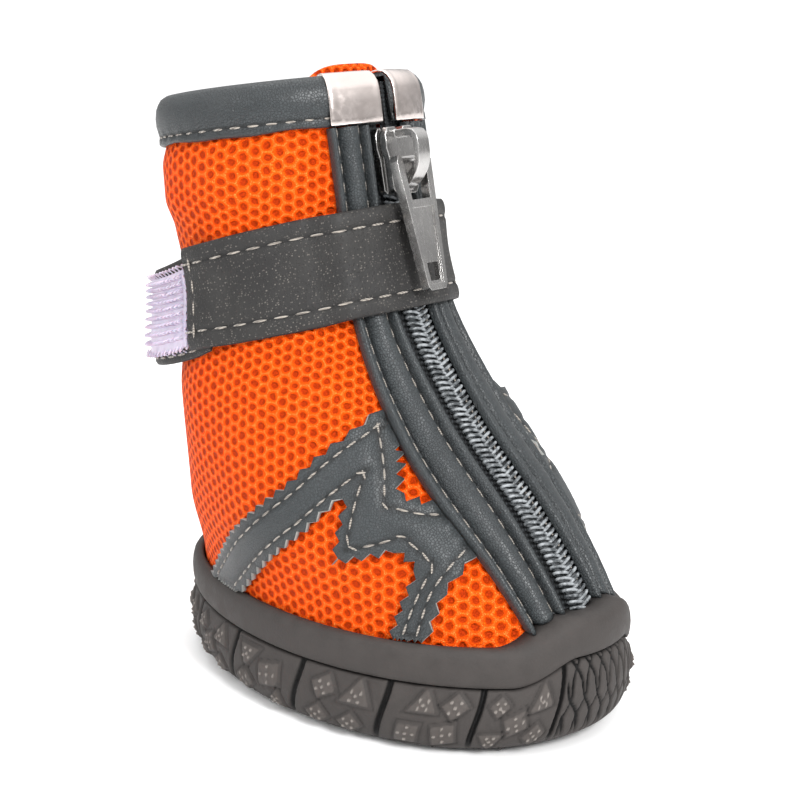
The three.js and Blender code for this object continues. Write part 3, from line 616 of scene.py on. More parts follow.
# foam sheet faced with plain-woven cloth
def makeInsoleCloth():
    material, tree, shader = newMaterial("cloth-faced insole foam", {
        "Roughness": 0.92, "Sheen Weight": 0.2})
    where = finePlace(tree)
    warp = waveNode(tree, "X", where, 0.35)
    weft = waveNode(tree, "Y", where, 0.35)
    weave = mathNode(tree, "MULTIPLY", warp, weft)
    feed(shader, "Base Color", colourMix(tree, weave, "#2C2C2E", "#4C4C50"))
    bumpOn(tree, shader, weave, 0.2)
    return material


airMesh = makeAirMesh()
lining = makeLining()
leatherette = makeLeatherette()
cutEdge = makeCutEdge()
bandCoating = makeBand()
tapeCloth = makeTapeCloth()
coilNylon = makeCoilNylon()
zinc = makeZinc()
brightNickel = makeBrightNickel()
rubber = makeRubber()
hookNylon = makeHookNylon()
thread = makeThread()
insoleCloth = makeInsoleCloth()
print("materials: ready")


def finishPiece(made, slot, nodes, *materials, body="boot"):
    made.data.materials.clear()
    for material in materials:
        made.data.materials.append(material)
    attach(made, body)
    if nodes:
        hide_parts(*nodes)
    return made


# flat pattern of the cloth, in millimetres: a coarse copy of the surface is unwrapped, and its
# pattern is spread over the fine grid of rises and angles
def flatPattern(rises, angles, rows, columns):
    coarseRises = np.linspace(rises.min(), rises.max(), rows)
    coarseAngles = np.linspace(0, 2 * math.pi, columns)
    small = clothPoint(coarseRises[:, None], coarseAngles[None, :])
    unset = np.zeros((rows, columns, 2))
    made = meshFrom("pattern", small, gridFaces(rows, columns), uv=unset, outward=True)
    bpy.context.view_layer.objects.active = made
    made.select_set(True)
    bpy.ops.object.mode_set(mode="EDIT")
    bpy.ops.mesh.select_all(action="SELECT")
    bpy.ops.uv.unwrap(method="ANGLE_BASED", margin=0)
    bpy.ops.object.mode_set(mode="OBJECT")
    corners = np.empty(len(made.data.loops), np.int32)
    made.data.loops.foreach_get("vertex_index", corners)
    loose = np.empty(len(corners) * 2, np.float32)
    made.data.uv_layers[0].data.foreach_get("uv", loose)
    flat = np.zeros((rows * columns, 2))
    flat[corners] = loose.reshape(-1, 2)
    flat = flat.reshape(rows, columns, 2)
    bpy.data.objects.remove(made)
    real = np.linalg.norm(np.diff(small, axis=1), axis=-1).sum()
    flat = flat * real / np.linalg.norm(np.diff(flat, axis=1), axis=-1).sum()
    spread = []
    for k in range(2):
        tall = np.stack([np.interp(rises, coarseRises, flat[:, j, k]) for j in range(columns)], -1)
        spread.append(np.stack([np.interp(angles[i], coarseAngles, tall[i]) for i in range(len(rises))]))
    return np.stack(spread, -1)


# upper: the mesh shell, open at the throat and the collar
upper = {
    "rows": 130,
    "columns": 260,
    "patternRows": 34,
    "patternColumns": 66,
    "slotHalf": 5.5,
    "slotFloor": 16.8,
    "lowest": 4.7,
}


def makeUpper():
    rises = np.linspace(upper["lowest"] / boot["collarHeight"], 1, upper["rows"])[:, None]
    openHalf = upper["slotHalf"] * smoothStep((rises * boot["collarHeight"] - upper["slotFloor"] + 1) / 1)
    start = np.arcsin(np.maximum(openHalf, 0.02) / halfWidth(rises))
    share = np.linspace(0, 1, upper["columns"])[None, :]
    angles = start + (2 * math.pi - 2 * start) * share
    grid = clothPoint(rises, angles)
    pattern = flatPattern(rises[:, 0], angles, upper["patternRows"], upper["patternColumns"])
    made = meshFrom("upper_mesh", grid, gridFaces(*grid.shape[:2]), uv=pattern, outward=True)
    addModifier(
        made, "SOLIDIFY", thickness=boot["wall"] * millimetre, offset=-1, use_even_offset=False,
        material_offset=1, material_offset_rim=1)
    return finishPiece(made, "air_mesh", ["upper"], airMesh, lining)


makeUpper()
print("upper: made")

# tongue: mesh gusset behind the zip
tongue = {"half": 10.0, "wall": 1.2, "above": 2.8, "rows": 60, "columns": 28, "rounding": 0.35}


def makeTongue():
    t = np.linspace(0, 1, tongue["rows"])[:, None]
    s = np.linspace(-1, 1, tongue["columns"])[None, :]
    top = 1 + tongue["above"] * (1 - 0.8 * s**4) / boot["collarHeight"]
    rise = mix(riseOf(upper["slotFloor"] + 2), top, t)
    bend = smoothStep((rise - 0.78) / 0.12)
    gap = boot["wall"] + mix(1.6 * boot["fit"], boot["leather"] + 3.3 * boot["fit"], bend)
    grid = frontPoint(rise, s * tongue["half"], -gap)
    u, v = gridLengths(grid)
    faces = gridFaces(tongue["rows"], tongue["columns"])
    made = meshFrom("tongue_mesh", grid, faces, uv=np.stack([u, v], -1), outward=True)
    addModifier(made, "SOLIDIFY", thickness=tongue["wall"] * millimetre, offset=-1, material_offset=1)
    addModifier(made, "BEVEL", width=tongue["rounding"] * millimetre, segments=3, limit_method="ANGLE")
    return finishPiece(made, "air_mesh", ["tongue"], airMesh, lining)


makeTongue()
print("tongue: made")


# a new geometry tree with one geometry in and out, lengths in millimetres and a material
def newTree(name, source, lengths, result):
    tree = bpy.data.node_groups.new(name, "GeometryNodeTree")
    sockets = tree.interface
    sockets.new_socket(source, in_out="INPUT", socket_type="NodeSocketGeometry")
    for key, value in lengths.items():
        socket = sockets.new_socket(key, in_out="INPUT", socket_type="NodeSocketFloat")
        socket.default_value = value * millimetre
    sockets.new_socket("Material", in_out="INPUT", socket_type="NodeSocketMaterial")
    sockets.new_socket(result, in_out="OUTPUT", socket_type="NodeSocketGeometry")
    return tree


# even points along a path, the turn that lays an instance's axis along it, and its normals
def pathNodes(tree, path, pitch, axis):
    curve = addNode(tree, "GeometryNodeMeshToCurve", {}, {0: path})
    even = addNode(tree, "GeometryNodeResampleCurve", {"mode": "LENGTH"}, {
        "Curve": curve.outputs[0], "Length": pitch})
    tangent = addNode(tree, "GeometryNodeInputTangent").outputs[0]
    normal = addNode(tree, "GeometryNodeInputNamedAttribute", {"data_type": "FLOAT_VECTOR"}, {
        "Name": "surfaceNormal"}).outputs[0]
    along = addNode(tree, "FunctionNodeAlignRotationToVector", {"axis": axis}, {"Vector": tangent})
    turned = addNode(tree, "FunctionNodeAlignRotationToVector", {"axis": "Z", "pivot_axis": axis}, {
        "Rotation": along.outputs[0], "Vector": normal})
    return even.outputs[0], turned.outputs[0], normal


def instanceNode(tree, points, instance, rotation):
    inputs = {"Points": points, "Instance": instance, "Rotation": rotation}
    return addNode(tree, "GeometryNodeInstanceOnPoints", {}, inputs).outputs[0]


# joins the laid instances into one mesh of the given material and gives it out
def closeTree(tree, laid, material, smooth=True):
    shape = addNode(tree, "GeometryNodeRealizeInstances", {}, {0: laid})
    if smooth:
        shape = addNode(tree, "GeometryNodeSetShadeSmooth", {}, {0: shape.outputs[0]})
    coloured = addNode(tree, "GeometryNodeSetMaterial", {}, {
        "Geometry": shape.outputs[0], "Material": material})
    addNode(tree, "NodeGroupOutput", {}, {0: coloured.outputs[0]})
    return tree


# runs a tree on an object: lengths in millimetres, other inputs as they are
def runTree(made, tree, lengths, others):
    modifier = made.modifiers.new(tree.name, "NODES")
    modifier.node_group = tree
    values = {key: value * millimetre for key, value in lengths.items()}
    values.update(others)
    for item in tree.interface.items_tree:
        if item.item_type == "SOCKET" and item.in_out == "INPUT" and item.name in values:
            modifier[item.identifier] = values[item.name]
    return applyAll(made)


# object of open lines, whose points carry the cloth's normal
def pathObject(name, paths):
    edges = []
    start = 0
    for path, _ in paths:
        edges += [[start + i, start + i + 1] for i in range(len(path) - 1)]
        start += len(path)
    mesh = bpy.data.meshes.new(name)
    points = np.concatenate([path for path, _ in paths])
    mesh.from_pydata((points * millimetre).tolist(), edges, [])
    attribute = mesh.attributes.new("surfaceNormal", "FLOAT_VECTOR", "POINT")
    normals = np.concatenate([normal for _, normal in paths])
    attribute.data.foreach_set("vector", normals.astype(np.float32).ravel())
    return newObject(name, mesh)


# stitches: one tree lays them along a seam
def makeStitchTree():
    lengths = {"Pitch": 2.5, "Stitch length": 1.9, "Thread": 0.42, "Sink": 0.05}
    tree = newTree("stitches along a seam", "Seam", lengths, "Stitches")
    given = addNode(tree, "NodeGroupInput").outputs
    even, turned, normal = pathNodes(tree, given["Seam"], given["Pitch"], "X")
    ball = addNode(tree, "GeometryNodeMeshUVSphere", {}, {"Segments": 8, "Rings": 6, "Radius": 0.5})
    size = addNode(tree, "ShaderNodeCombineXYZ", {}, {
        "X": given["Stitch length"], "Y": given["Thread"], "Z": given["Thread"]})
    stitch = addNode(tree, "GeometryNodeTransform", {}, {
        "Geometry": ball.outputs[0], "Scale": size.outputs[0]})
    under = scaledNode(tree, scaledNode(tree, normal, given["Sink"]), -1.0)
    moved = addNode(tree, "GeometryNodeSetPosition", {}, {"Geometry": even, "Offset": under})
    laid = instanceNode(tree, moved.outputs[0], stitch.outputs[0], turned)
    return closeTree(tree, laid, given["Material"])


stitchTree = makeStitchTree()


# paths are pairs of point and normal rows; all become one piece
def makeStitches(name, paths, sizes):
    made = pathObject(name, paths)
    runTree(made, stitchTree, sizes, {"Material": thread})
    return finishPiece(made, "webbing", [], thread)


seamSizes = {"Pitch": 2.5, "Stitch length": 1.8, "Thread": 0.34, "Sink": 0.06}

# facings: a bead, a stitched groove, a padded middle, a stitched groove and a ridge
facingSection = {
    "at": [
        0, 0.03, 0.1, 0.17, 0.21, 0.245, 0.28, 0.34, 0.5, 0.66, 0.74, 0.775, 0.81, 0.855, 0.92, 0.975, 1,
    ],
    "out": [
        0.35, 0.86, 1.08, 0.92, 0.5, 0.26, 0.5, 0.95, 1.2, 0.96, 0.55, 0.26, 0.62, 1.08, 1.22, 0.9, 0.35,
    ],
}
rim = {"top": 15.4, "rise": 3.4, "flat": 5.0, "end": 13.0, "band": 5.2}


def rimTopAt(x, y):
    step = smoothStep((rim["end"] - np.abs(x)) / (rim["end"] - rim["flat"]))
    return rim["top"] + np.where(y > 0, 0, rim["rise"] * step)


# rise of the surface point that stands out from the cloth by out and ends on the rim
def rimRise(x, out):
    rise = riseOf(rimTopAt(x, -1), x)
    for _ in range(12):
        end = frontPoint(rise, x, out)
        rise = rise + (rimTopAt(end[..., 0], -1) - 0.1 - end[..., 2]) / boot["collarHeight"]
    return rise


def facingPlace(t, at, side, out):
    near = side * mix(facing["inner"], facingHalf(facing["rise"][0]), at)
    low = rimRise(near, out)
    high = 1 - (boot["bindingHeight"] + boot["fit"]) / boot["collarHeight"]
    rise = mix(low, high, t)
    x = side * mix(facing["inner"], facingHalf(rise), at)
    return rise, frontAngle(rise, x)


def makeFacing(side, name):
    t = np.linspace(0, 1, facing["stations"])[:, None]
    at = np.linspace(0, 1, facing["columns"])[None, :]
    height = columnAt(facingSection, "at", "out", at) * facing["puff"]
    rise, angle = facingPlace(t, at, side, height)
    middle = lastPoint(rise, angle)[:, facing["columns"] // 2]
    length = np.cumsum(np.r_[0, np.linalg.norm(np.diff(middle, axis=0), axis=-1)])[:, None]
    pucker = np.zeros_like(rise)
    shade = np.zeros_like(rise)
    for seam in facing["stitches"]:
        near = hump(at, seam, 0.1)
        wave = 0.5 + 0.5 * np.cos(2 * math.pi * length / facing["pitch"])
        pucker = pucker - facing["pucker"] * near * wave
        shade = shade + hump(at, seam, 0.028)
    soft = 0.06 * np.sin(length * 0.9 + 3 * side) * hump(at, 0.5, 0.2)
    upperFace = lastPoint(rise, angle, height + pucker + soft)
    back = at[:, ::-5]
    rise, angle = facingPlace(t, back, side, facing["under"])
    lowerFace = lastPoint(rise, angle, facing["under"])
    stations = np.concatenate([upperFace, lowerFace], 1)
    made = sweepMesh(name, stations)
    # painted shade: marks the sewn grooves, which the leatherette paints near black
    setShare(made, "seam", np.concatenate([shade, np.zeros(lowerFace.shape[:2])], 1))
    finishPiece(made, "leatherette", ["facing_right" if side < 0 else "facing_left"], leatherette)
    paths = []
    for seam in facing["stitches"]:
        level = float(columnAt(facingSection, "at", "out", seam)) * facing["puff"]
        rise, angle = facingPlace(np.linspace(0.01, 0.99, 90), seam, side, level)
        paths.append(seamPath(rise, angle, level))
    return paths


facingPaths = makeFacing(-1, "facing_leather_right") + makeFacing(1, "facing_leather_left")
makeStitches("facing_stitches", facingPaths, seamSizes)
print("facings: made")

# collar binding: padded fold over the collar's edge, stitched near its lower edge
binding = {
    "parting": 1.3,
    "seam": 0.82,
    "stitchUp": 1.1,
    "pitch": 2.6,
    "pucker": 0.14,
    "stations": 220,
    "clipCover": 7.9,
}
collarHalf = boot["soleWidth"] * lastShape["half"][-1]
# drop is a share of the height, out in millimetres from the mesh's outer face
bindingSection = [
    (1.0, 0.35), (1.02, 0.8), (0.97, 1.15), (0.86, 1.05), (0.8, 0.95), (0.72, 1.15), (0.55, 1.45),
    (0.35, 1.5), (0.15, 1.35), (0.03, 1.05), (-0.09, 0.6), (-0.17, -0.2), (-0.19, -1.0),
    (-0.17, -1.9), (-0.09, -2.7),
    (0.05, -3.1), (0.3, -3.25), (0.55, -3.15), (0.66, -2.9), (0.66, -2.35), (0.4, -2.3), (0.1, -2.3),
    (-0.07, -2.25), (-0.075, 0.25), (0.1, 0.3), (0.5, 0.3), (0.85, 0.3),
]


def makeBinding():
    start = math.asin(binding["parting"] / collarHalf)
    angles = np.linspace(start, 2 * math.pi - start, binding["stations"])[:, None]
    drop = np.array([row[0] for row in bindingSection])[None, :]
    out = np.array([row[1] for row in bindingSection])[None, :]
    edge = lastPoint(1.0, angles[:, 0])
    length = np.r_[0, np.cumsum(np.linalg.norm(np.diff(edge, axis=0), axis=-1))][:, None]
    nearSeam = hump(drop, binding["seam"], 0.12) * (out > 0.5)
    pucker = binding["pucker"] * nearSeam * np.cos(2 * math.pi * length / binding["pitch"])
    wave = 0.12 * np.sin(length * 0.33) + 0.08 * np.sin(length * 0.71 + 1)
    rise = 1 + (-drop * boot["bindingHeight"] + wave * (drop > 0.9)) / boot["collarHeight"]
    stations = lastPoint(rise, angles, out - pucker)
    made = sweepMesh("collar_leather", stations)
    # painted shade: marks the sewn groove, which the leatherette paints near black
    shade = hump(drop, 0.81, 0.035) * (out > 0.5)
    setShare(made, "seam", np.broadcast_to(shade, stations.shape[:2]))
    finishPiece(made, "leatherette", ["collar_binding"], leatherette)
    clear = math.asin((binding["parting"] + binding["clipCover"]) / collarHalf)
    turn = np.linspace(clear, 2 * math.pi - clear, 240)
    seam = 1 - (boot["bindingHeight"] - binding["stitchUp"]) / boot["collarHeight"]
    makeStitches("collar_stitches", [seamPath(seam, turn, 1.0)], seamSizes)


makeBinding()
print("collar binding: made")

# end clips: pressed plates over the binding's ends
clip = {
    "width": 7.6,
    "wall": 0.5,
    "rounding": 0.16,
    "crimps": ((0.06, 0.16), (0.94, 0.12)),
    "columns": 24,
}
# drop and out in millimetres, over the collar's edge from the outer face to the inner one
clipSection = np.array([
    (5.95, 1.62), (5.0, 1.68), (3.0, 1.74), (1.2, 1.72), (0.3, 1.55), (-0.55, 1.05), (-1.2, 0.3),
    (-1.42, -0.6), (-1.4, -1.6), (-1.05, -2.6), (-0.4, -3.3), (0.6, -3.6), (2.2, -3.65),
])


def makeClip(side, name):
    t = np.linspace(0, 1, clip["columns"])[None, :]
    x = binding["parting"] - 0.05 + clip["width"] * t
    angle = side * np.arcsin(x / collarHalf)
    drop, out = clipSection[:, :1], clipSection[:, 1:]
    crimp = sum(height * hump(t, middle, 0.04) for middle, height in clip["crimps"])
    grid = lastPoint(1 - drop / boot["collarHeight"], angle, out + crimp * (out > 0))
    made = meshFrom(name, grid, gridFaces(*grid.shape[:2]), outward=side < 0)
    addModifier(made, "SOLIDIFY", thickness=clip["wall"] * millimetre, offset=1)
    addModifier(made, "BEVEL", width=clip["rounding"] * millimetre, segments=3, limit_method="ANGLE")
    return finishPiece(made, "plated_metal", ["clip_right" if side < 0 else "clip_left"], brightNickel)


makeClip(-1, "clip_plate_right")
makeClip(1, "clip_plate_left")
print("end clips: made")

# strap: from the back's middle round the front to its free end, in degrees from the toe
strap = {
    "end": -101.0,
    "sewn": 177.0,
    "tailEnd": -92.0,
    "tailSewn": -177.0,
    "front": 0.713,
    "back": 0.653,
    "width": 15.6,
    "lift": 0.4,
    "overZip": 2.02,
    "ramp": 12.0,
    "tailLap": 14.4,
    "tailGap": 0.42,
    "crossSeam": 4.5,
    "bulge": 3.6,
    "seams": [0.16, 0.84],
    "pitch": 3.0,
}
strapShare = 0.94 * strap["width"] / boot["collarHeight"]


def strapRise(degrees, t, drop=0.0):
    share = (1 - np.cos(np.radians(degrees))) / 2
    middle = mix(strap["front"], strap["back"], share)
    return middle - drop / boot["collarHeight"] + (t - 0.5) * strapShare


def strapOut(degrees):
    rise = strap["front"] - strapShare / 2
    reach = math.degrees(math.asin(float(facingHalf(rise) / halfWidth(rise))))
    offZip = smoothStep((np.abs(degrees) - reach - 1) / strap["ramp"])
    lap = (strap["tailEnd"] + strap["tailLap"] - degrees) / strap["ramp"]
    onTail = np.where(degrees < 0, smoothStep(lap), 0)
    return mix(strap["overZip"], strap["lift"], offZip) + onTail * (boot["leather"] + strap["tailGap"])


def strapSection(count, wall, seams):
    t = np.linspace(0, 1, count)
    groove = sum(hump(t, seam, 0.028) for seam in seams)
    crown = 1 - 0.55 * np.abs(2 * t - 1) ** 14
    return t, wall * crown - 0.2 * groove


def makeStrap():
    degrees = np.linspace(strap["end"], strap["sewn"], 240)[:, None]
    t, top = strapSection(56, boot["leather"], strap["seams"])
    angle = np.radians(degrees)
    base = strapOut(degrees)
    ripple = 0.1 * np.sin(angle * 9) + 0.07 * np.sin(angle * 23 + 1)
    over = lastPoint(strapRise(degrees, t[None, :]), angle, base + top[None, :] + ripple)
    back = t[::-6]
    under = lastPoint(strapRise(degrees, back[None, :]), angle, base + 0.05 * ripple)
    made = sweepMesh("strap_band", np.concatenate([over, under], 1))
    # painted shade: marks the sewn grooves, which the band paints near black
    shade = sum(hump(t, seam, 0.016) for seam in strap["seams"])
    shade = np.concatenate([shade, np.zeros(len(back))])
    setShare(made, "seam", np.broadcast_to(shade, (len(degrees), len(shade))))
    finishPiece(made, "webbing", ["strap"], bandCoating)
    paths = []
    turn = np.linspace(strap["end"] + 1, strap["sewn"] - 1, 300)
    for seam in strap["seams"]:
        rise = strapRise(turn, seam)
        out = strapOut(turn) + boot["leather"] - 0.12 + 0.1 * np.sin(np.radians(turn) * 9)
        paths.append(seamPath(rise, np.radians(turn), out))
    across = np.linspace(0.17, 0.83, 40)
    rise = strapRise(strap["end"] + strap["crossSeam"], across)
    angle = np.full(len(across), math.radians(strap["end"] + strap["crossSeam"]))
    out = float(strapOut(np.array(strap["end"]))) + boot["leather"] - 0.02
    paths.append(seamPath(rise, angle, out))
    sizes = {"Pitch": strap["pitch"], "Stitch length": 2.2}
    makeStitches("strap_stitches", paths, seamSizes | sizes)


makeStrap()
print("strap: made")


# slack tail with its hook patch
def tailOut(degrees):
    along = (degrees - strap["tailSewn"]) / (strap["tailEnd"] - strap["tailSewn"])
    return strap["lift"] + strap["bulge"] * np.sin(math.pi * np.minimum(along * 1.12, 1)) ** 1.5


def tailPoint(t, degrees, above):
    along = (degrees - strap["tailSewn"]) / (strap["tailEnd"] - strap["tailSewn"])
    rise = strapRise(degrees, t, mix(0.4, 2.0, np.sin(math.pi * along)))
    return lastPoint(rise, np.radians(degrees), tailOut(degrees) + above)


hooks = {
    "from": -162.0,
    "to": -105.0,
    "edge": 0.12,
    "rows": 27,
    "columns": 11,
    "tape": 0.4,
    "height": 0.9,
    "reach": 0.55,
    "wire": 0.12,
    "seed": 4,
    "seams": (0.07, 0.93),
}


def makeHookTree():
    lengths = {"Hook height": 0.9, "Hook reach": 0.5, "Wire": 0.11}
    tree = newTree("hooks on a patch", "Patch", lengths, "Hooks")
    tree.interface.new_socket("Seed", in_out="INPUT", socket_type="NodeSocketInt")
    given = addNode(tree, "NodeGroupInput").outputs
    middle = addNode(tree, "ShaderNodeCombineXYZ", {}, {"Z": given["Hook height"]})
    twice = scaledNode(tree, middle.outputs[0], 1.9)
    tip = addNode(tree, "ShaderNodeCombineXYZ", {}, {"X": given["Hook reach"], "Z": given["Wire"]})
    bow = addNode(tree, "GeometryNodeCurveQuadraticBezier", {}, {
        "Resolution": 5, "Start": (0, 0, 0), "Middle": twice, "End": tip.outputs[0]})
    wire = addNode(tree, "GeometryNodeCurvePrimitiveCircle", {}, {"Resolution": 4, "Radius": given["Wire"]})
    hook = addNode(tree, "GeometryNodeCurveToMesh", {}, {
        "Curve": bow.outputs[0], "Profile Curve": wire.outputs[0], "Fill Caps": True})
    normal = addNode(tree, "GeometryNodeInputNormal").outputs[0]
    upright = addNode(tree, "FunctionNodeAlignRotationToVector", {"axis": "Z"}, {"Vector": normal})
    spin = addNode(tree, "FunctionNodeRandomValue", {"data_type": "FLOAT"}, {
        "Min": -0.5, "Max": 0.5, "Seed": given["Seed"]})
    spun = addNode(tree, "ShaderNodeCombineXYZ", {}, {"Z": spin.outputs[1]})
    turned = addNode(tree, "FunctionNodeRotateRotation", {"rotation_space": "LOCAL"}, {
        "Rotation": upright.outputs[0], "Rotate By": spun.outputs[0]})
    laid = instanceNode(tree, given["Patch"], hook.outputs[0], turned.outputs[0])
    both = addNode(tree, "GeometryNodeJoinGeometry")
    tree.links.new(given["Patch"], both.inputs[0])
    tree.links.new(laid, both.inputs[0])
    return closeTree(tree, both.outputs[0], given["Material"], smooth=False)


def makeTail():
    degrees = np.linspace(strap["tailSewn"], strap["tailEnd"], 120)[:, None]
    t, top = strapSection(40, boot["leather"], hooks["seams"])
    over = tailPoint(t[None, :], degrees, top[None, :])
    under = tailPoint(t[::-4][None, :], degrees, 0.0)
    made = sweepMesh("strap_tail_band", np.concatenate([over, under], 1))
    finishPiece(made, "webbing", ["strap_tail"], bandCoating)
    rows, across = hooks["rows"], hooks["columns"]
    columns = np.linspace(hooks["edge"], 1 - hooks["edge"], across)[None, :]
    turns = np.linspace(hooks["from"], hooks["to"], rows)[:, None]
    low = tailPoint(columns, turns, boot["leather"] + 0.02)
    high = tailPoint(columns, turns, boot["leather"] + hooks["tape"])
    count = rows * across
    faces = gridFaces(rows, across)
    edge = [i * across for i in range(rows)] + [(rows - 1) * across + j for j in range(1, across)]
    edge += [i * across + across - 1 for i in range(rows - 2, -1, -1)]
    edge += list(range(across - 2, 0, -1))
    faces += [[count + i for i in face[::-1]] for face in faces]
    for i, start in enumerate(edge):
        end = edge[(i + 1) % len(edge)]
        faces.append([start, end, count + end, count + start])
    points = np.concatenate([high.reshape(-1, 3), low.reshape(-1, 3)])
    patch = meshFrom("hook_patch_tape", points, faces, smooth=False)
    sizes = {"Hook height": hooks["height"], "Hook reach": hooks["reach"], "Wire": hooks["wire"]}
    runTree(patch, makeHookTree(), sizes, {"Seed": hooks["seed"], "Material": hookNylon})
    finishPiece(patch, "hook_tape", ["hook_patch"], hookNylon)
    paths = []
    turn = np.linspace(hooks["from"] - 1, hooks["to"] + 1, 80)
    for seam in hooks["seams"]:
        path = tailPoint(seam, turn, boot["leather"] - 0.1)
        paths.append((path, lastNormal(strapRise(turn, seam), np.radians(turn))))
    makeStitches("tail_stitches", paths, seamSizes)


makeTail()
print("strap tail and hooks: made")

# side overlays, as outlines in the side view: y is a share of soleLength, z of the height
# from the rim to the collar; the net of points in them covers along and reaches up to top
overlay = {
    "outline": [
        (-0.5, 0.475), (-0.12, 0.475), (-0.07, 0.36), (0, 0.265), (0.13, 0.14), (0.28, -0.02),
        (0.15, -0.02), (0.03, 0.1), (-0.05, 0.175), (-0.1, 0.24), (-0.105, 0.12), (-0.18, 0.14),
        (-0.2, 0.15),
        (-0.235, 0.12), (-0.21, -0.02), (-0.28, -0.02), (-0.29, 0.08), (-0.31, 0.145), (-0.5, 0.145),
    ],
    "window": [(-0.14, 0.34), (-0.16, 0.3), (-0.18, 0.25), (-0.22, 0.24), (-0.5, 0.24), (-0.5, 0.34)],
    "pitch": 2.0,
    "depth": 0.8,
    "groove": 0.32,
    "inset": 1.75,
    "stitchPitch": 2.2,
    "grain": 0.55,
    "along": (-38, 24),
    "top": 50,
}


def sideCorners(table):
    foot = rim["top"] + 0.6
    return np.array([(y * boot["soleLength"], mix(foot, boot["collarHeight"], z)) for y, z in table])


def ring(corners):
    return np.concatenate([corners, corners[:1]])


# cuts teeth along a closed outline, which runs so that inward is on the given side
def pinkedOutline(corners, inward):
    made = []
    for i, start in enumerate(corners):
        end = corners[(i + 1) % len(corners)]
        length = np.linalg.norm(end - start)
        count = max(2, 2 * int(round(length / overlay["pitch"])))
        along = (end - start) / length
        normal = np.array([-along[1], along[0]]) * inward
        for k in range(count):
            depth = overlay["depth"] if k % 2 else 0.0
            spot = start + along * (length * k / count) + normal * depth
            if depth == 0 or awayFrom(spot[None], ring(corners))[0] > 0.9 * depth:
                made.append(spot)
    return np.array(made)


def insetOutline(corners, inward, inset):
    made = []
    for i, corner in enumerate(corners):
        before = corner - corners[i - 1]
        after = corners[(i + 1) % len(corners)] - corner
        normals = [np.array([-v[1], v[0]]) / np.linalg.norm(v) * inward for v in (before, after)]
        middle = normals[0] + normals[1]
        middle = middle / np.linalg.norm(middle)
        made.append(corner + middle * min(inset / max(float(middle @ normals[0]), 0.35), 2.2 * inset))
    return np.array(made)


def area(corners):
    nextCorners = np.roll(corners, -1, 0)
    return float(np.sum(corners[:, 0] * nextCorners[:, 1] - nextCorners[:, 0] * corners[:, 1]) / 2)


def inside(points, corners):
    x, y = points[:, 0], points[:, 1]
    hit = np.zeros(len(points), bool)
    for start, end in zip(corners, np.roll(corners, -1, 0)):
        crosses = (start[1] > y) != (end[1] > y)
        at = start[0] + (y - start[1]) * (end[0] - start[0]) / (end[1] - start[1] + 1e-12)
        hit ^= crosses & (x < at)
    return hit


def awayFrom(points, path):
    best = np.full(len(points), 1e9)
    for start, end in zip(path[:-1], path[1:]):
        along = end - start
        t = np.clip(((points - start) @ along) / (along @ along + 1e-12), 0, 1)
        best = np.minimum(best, np.linalg.norm(points - start - t[:, None] * along, axis=1))
    return best


# runs of more than four neighbours that are all good
def goodRuns(good):
    runs = []
    run = []
    for i, fine in enumerate([*good, False]):
        if fine:
            run.append(i)
            continue
        if len(run) > 4:
            runs.append(run)
        run = []
    return runs


# flat points and triangles between the teeth's outlines, with an edge line beside the facing
def overlayNet(cutOutline, cutWindow, edge):
    step = overlay["grain"]
    along = np.arange(*overlay["along"], step)
    ys, zs = np.meshgrid(along, np.arange(rim["top"], overlay["top"], step * 0.87))
    ys = ys + (np.arange(len(zs)) % 2)[:, None] * step / 2
    field = np.stack([ys.ravel(), zs.ravel()], -1)
    keep = inside(field, cutOutline) & ~inside(field, cutWindow)
    for path in (ring(cutOutline), ring(cutWindow), edge):
        keep &= awayFrom(field, path) > step * 0.5
    field = field[keep]
    points = [Vector(p) for group in (cutOutline, cutWindow, edge, field) for p in group]
    a, b, c = len(cutOutline), len(cutWindow), len(edge)
    edges = [(i, (i + 1) % a) for i in range(a)] + [(a + i, a + (i + 1) % b) for i in range(b)]
    edges += [(a + b + i, a + b + i + 1) for i in range(c - 1)]
    flat, _, triangles, _, _, _ = delaunay_2d_cdt(points, edges, [], 0, 1e-5)
    return np.array([tuple(p) for p in flat]), np.array([list(face) for face in triangles])


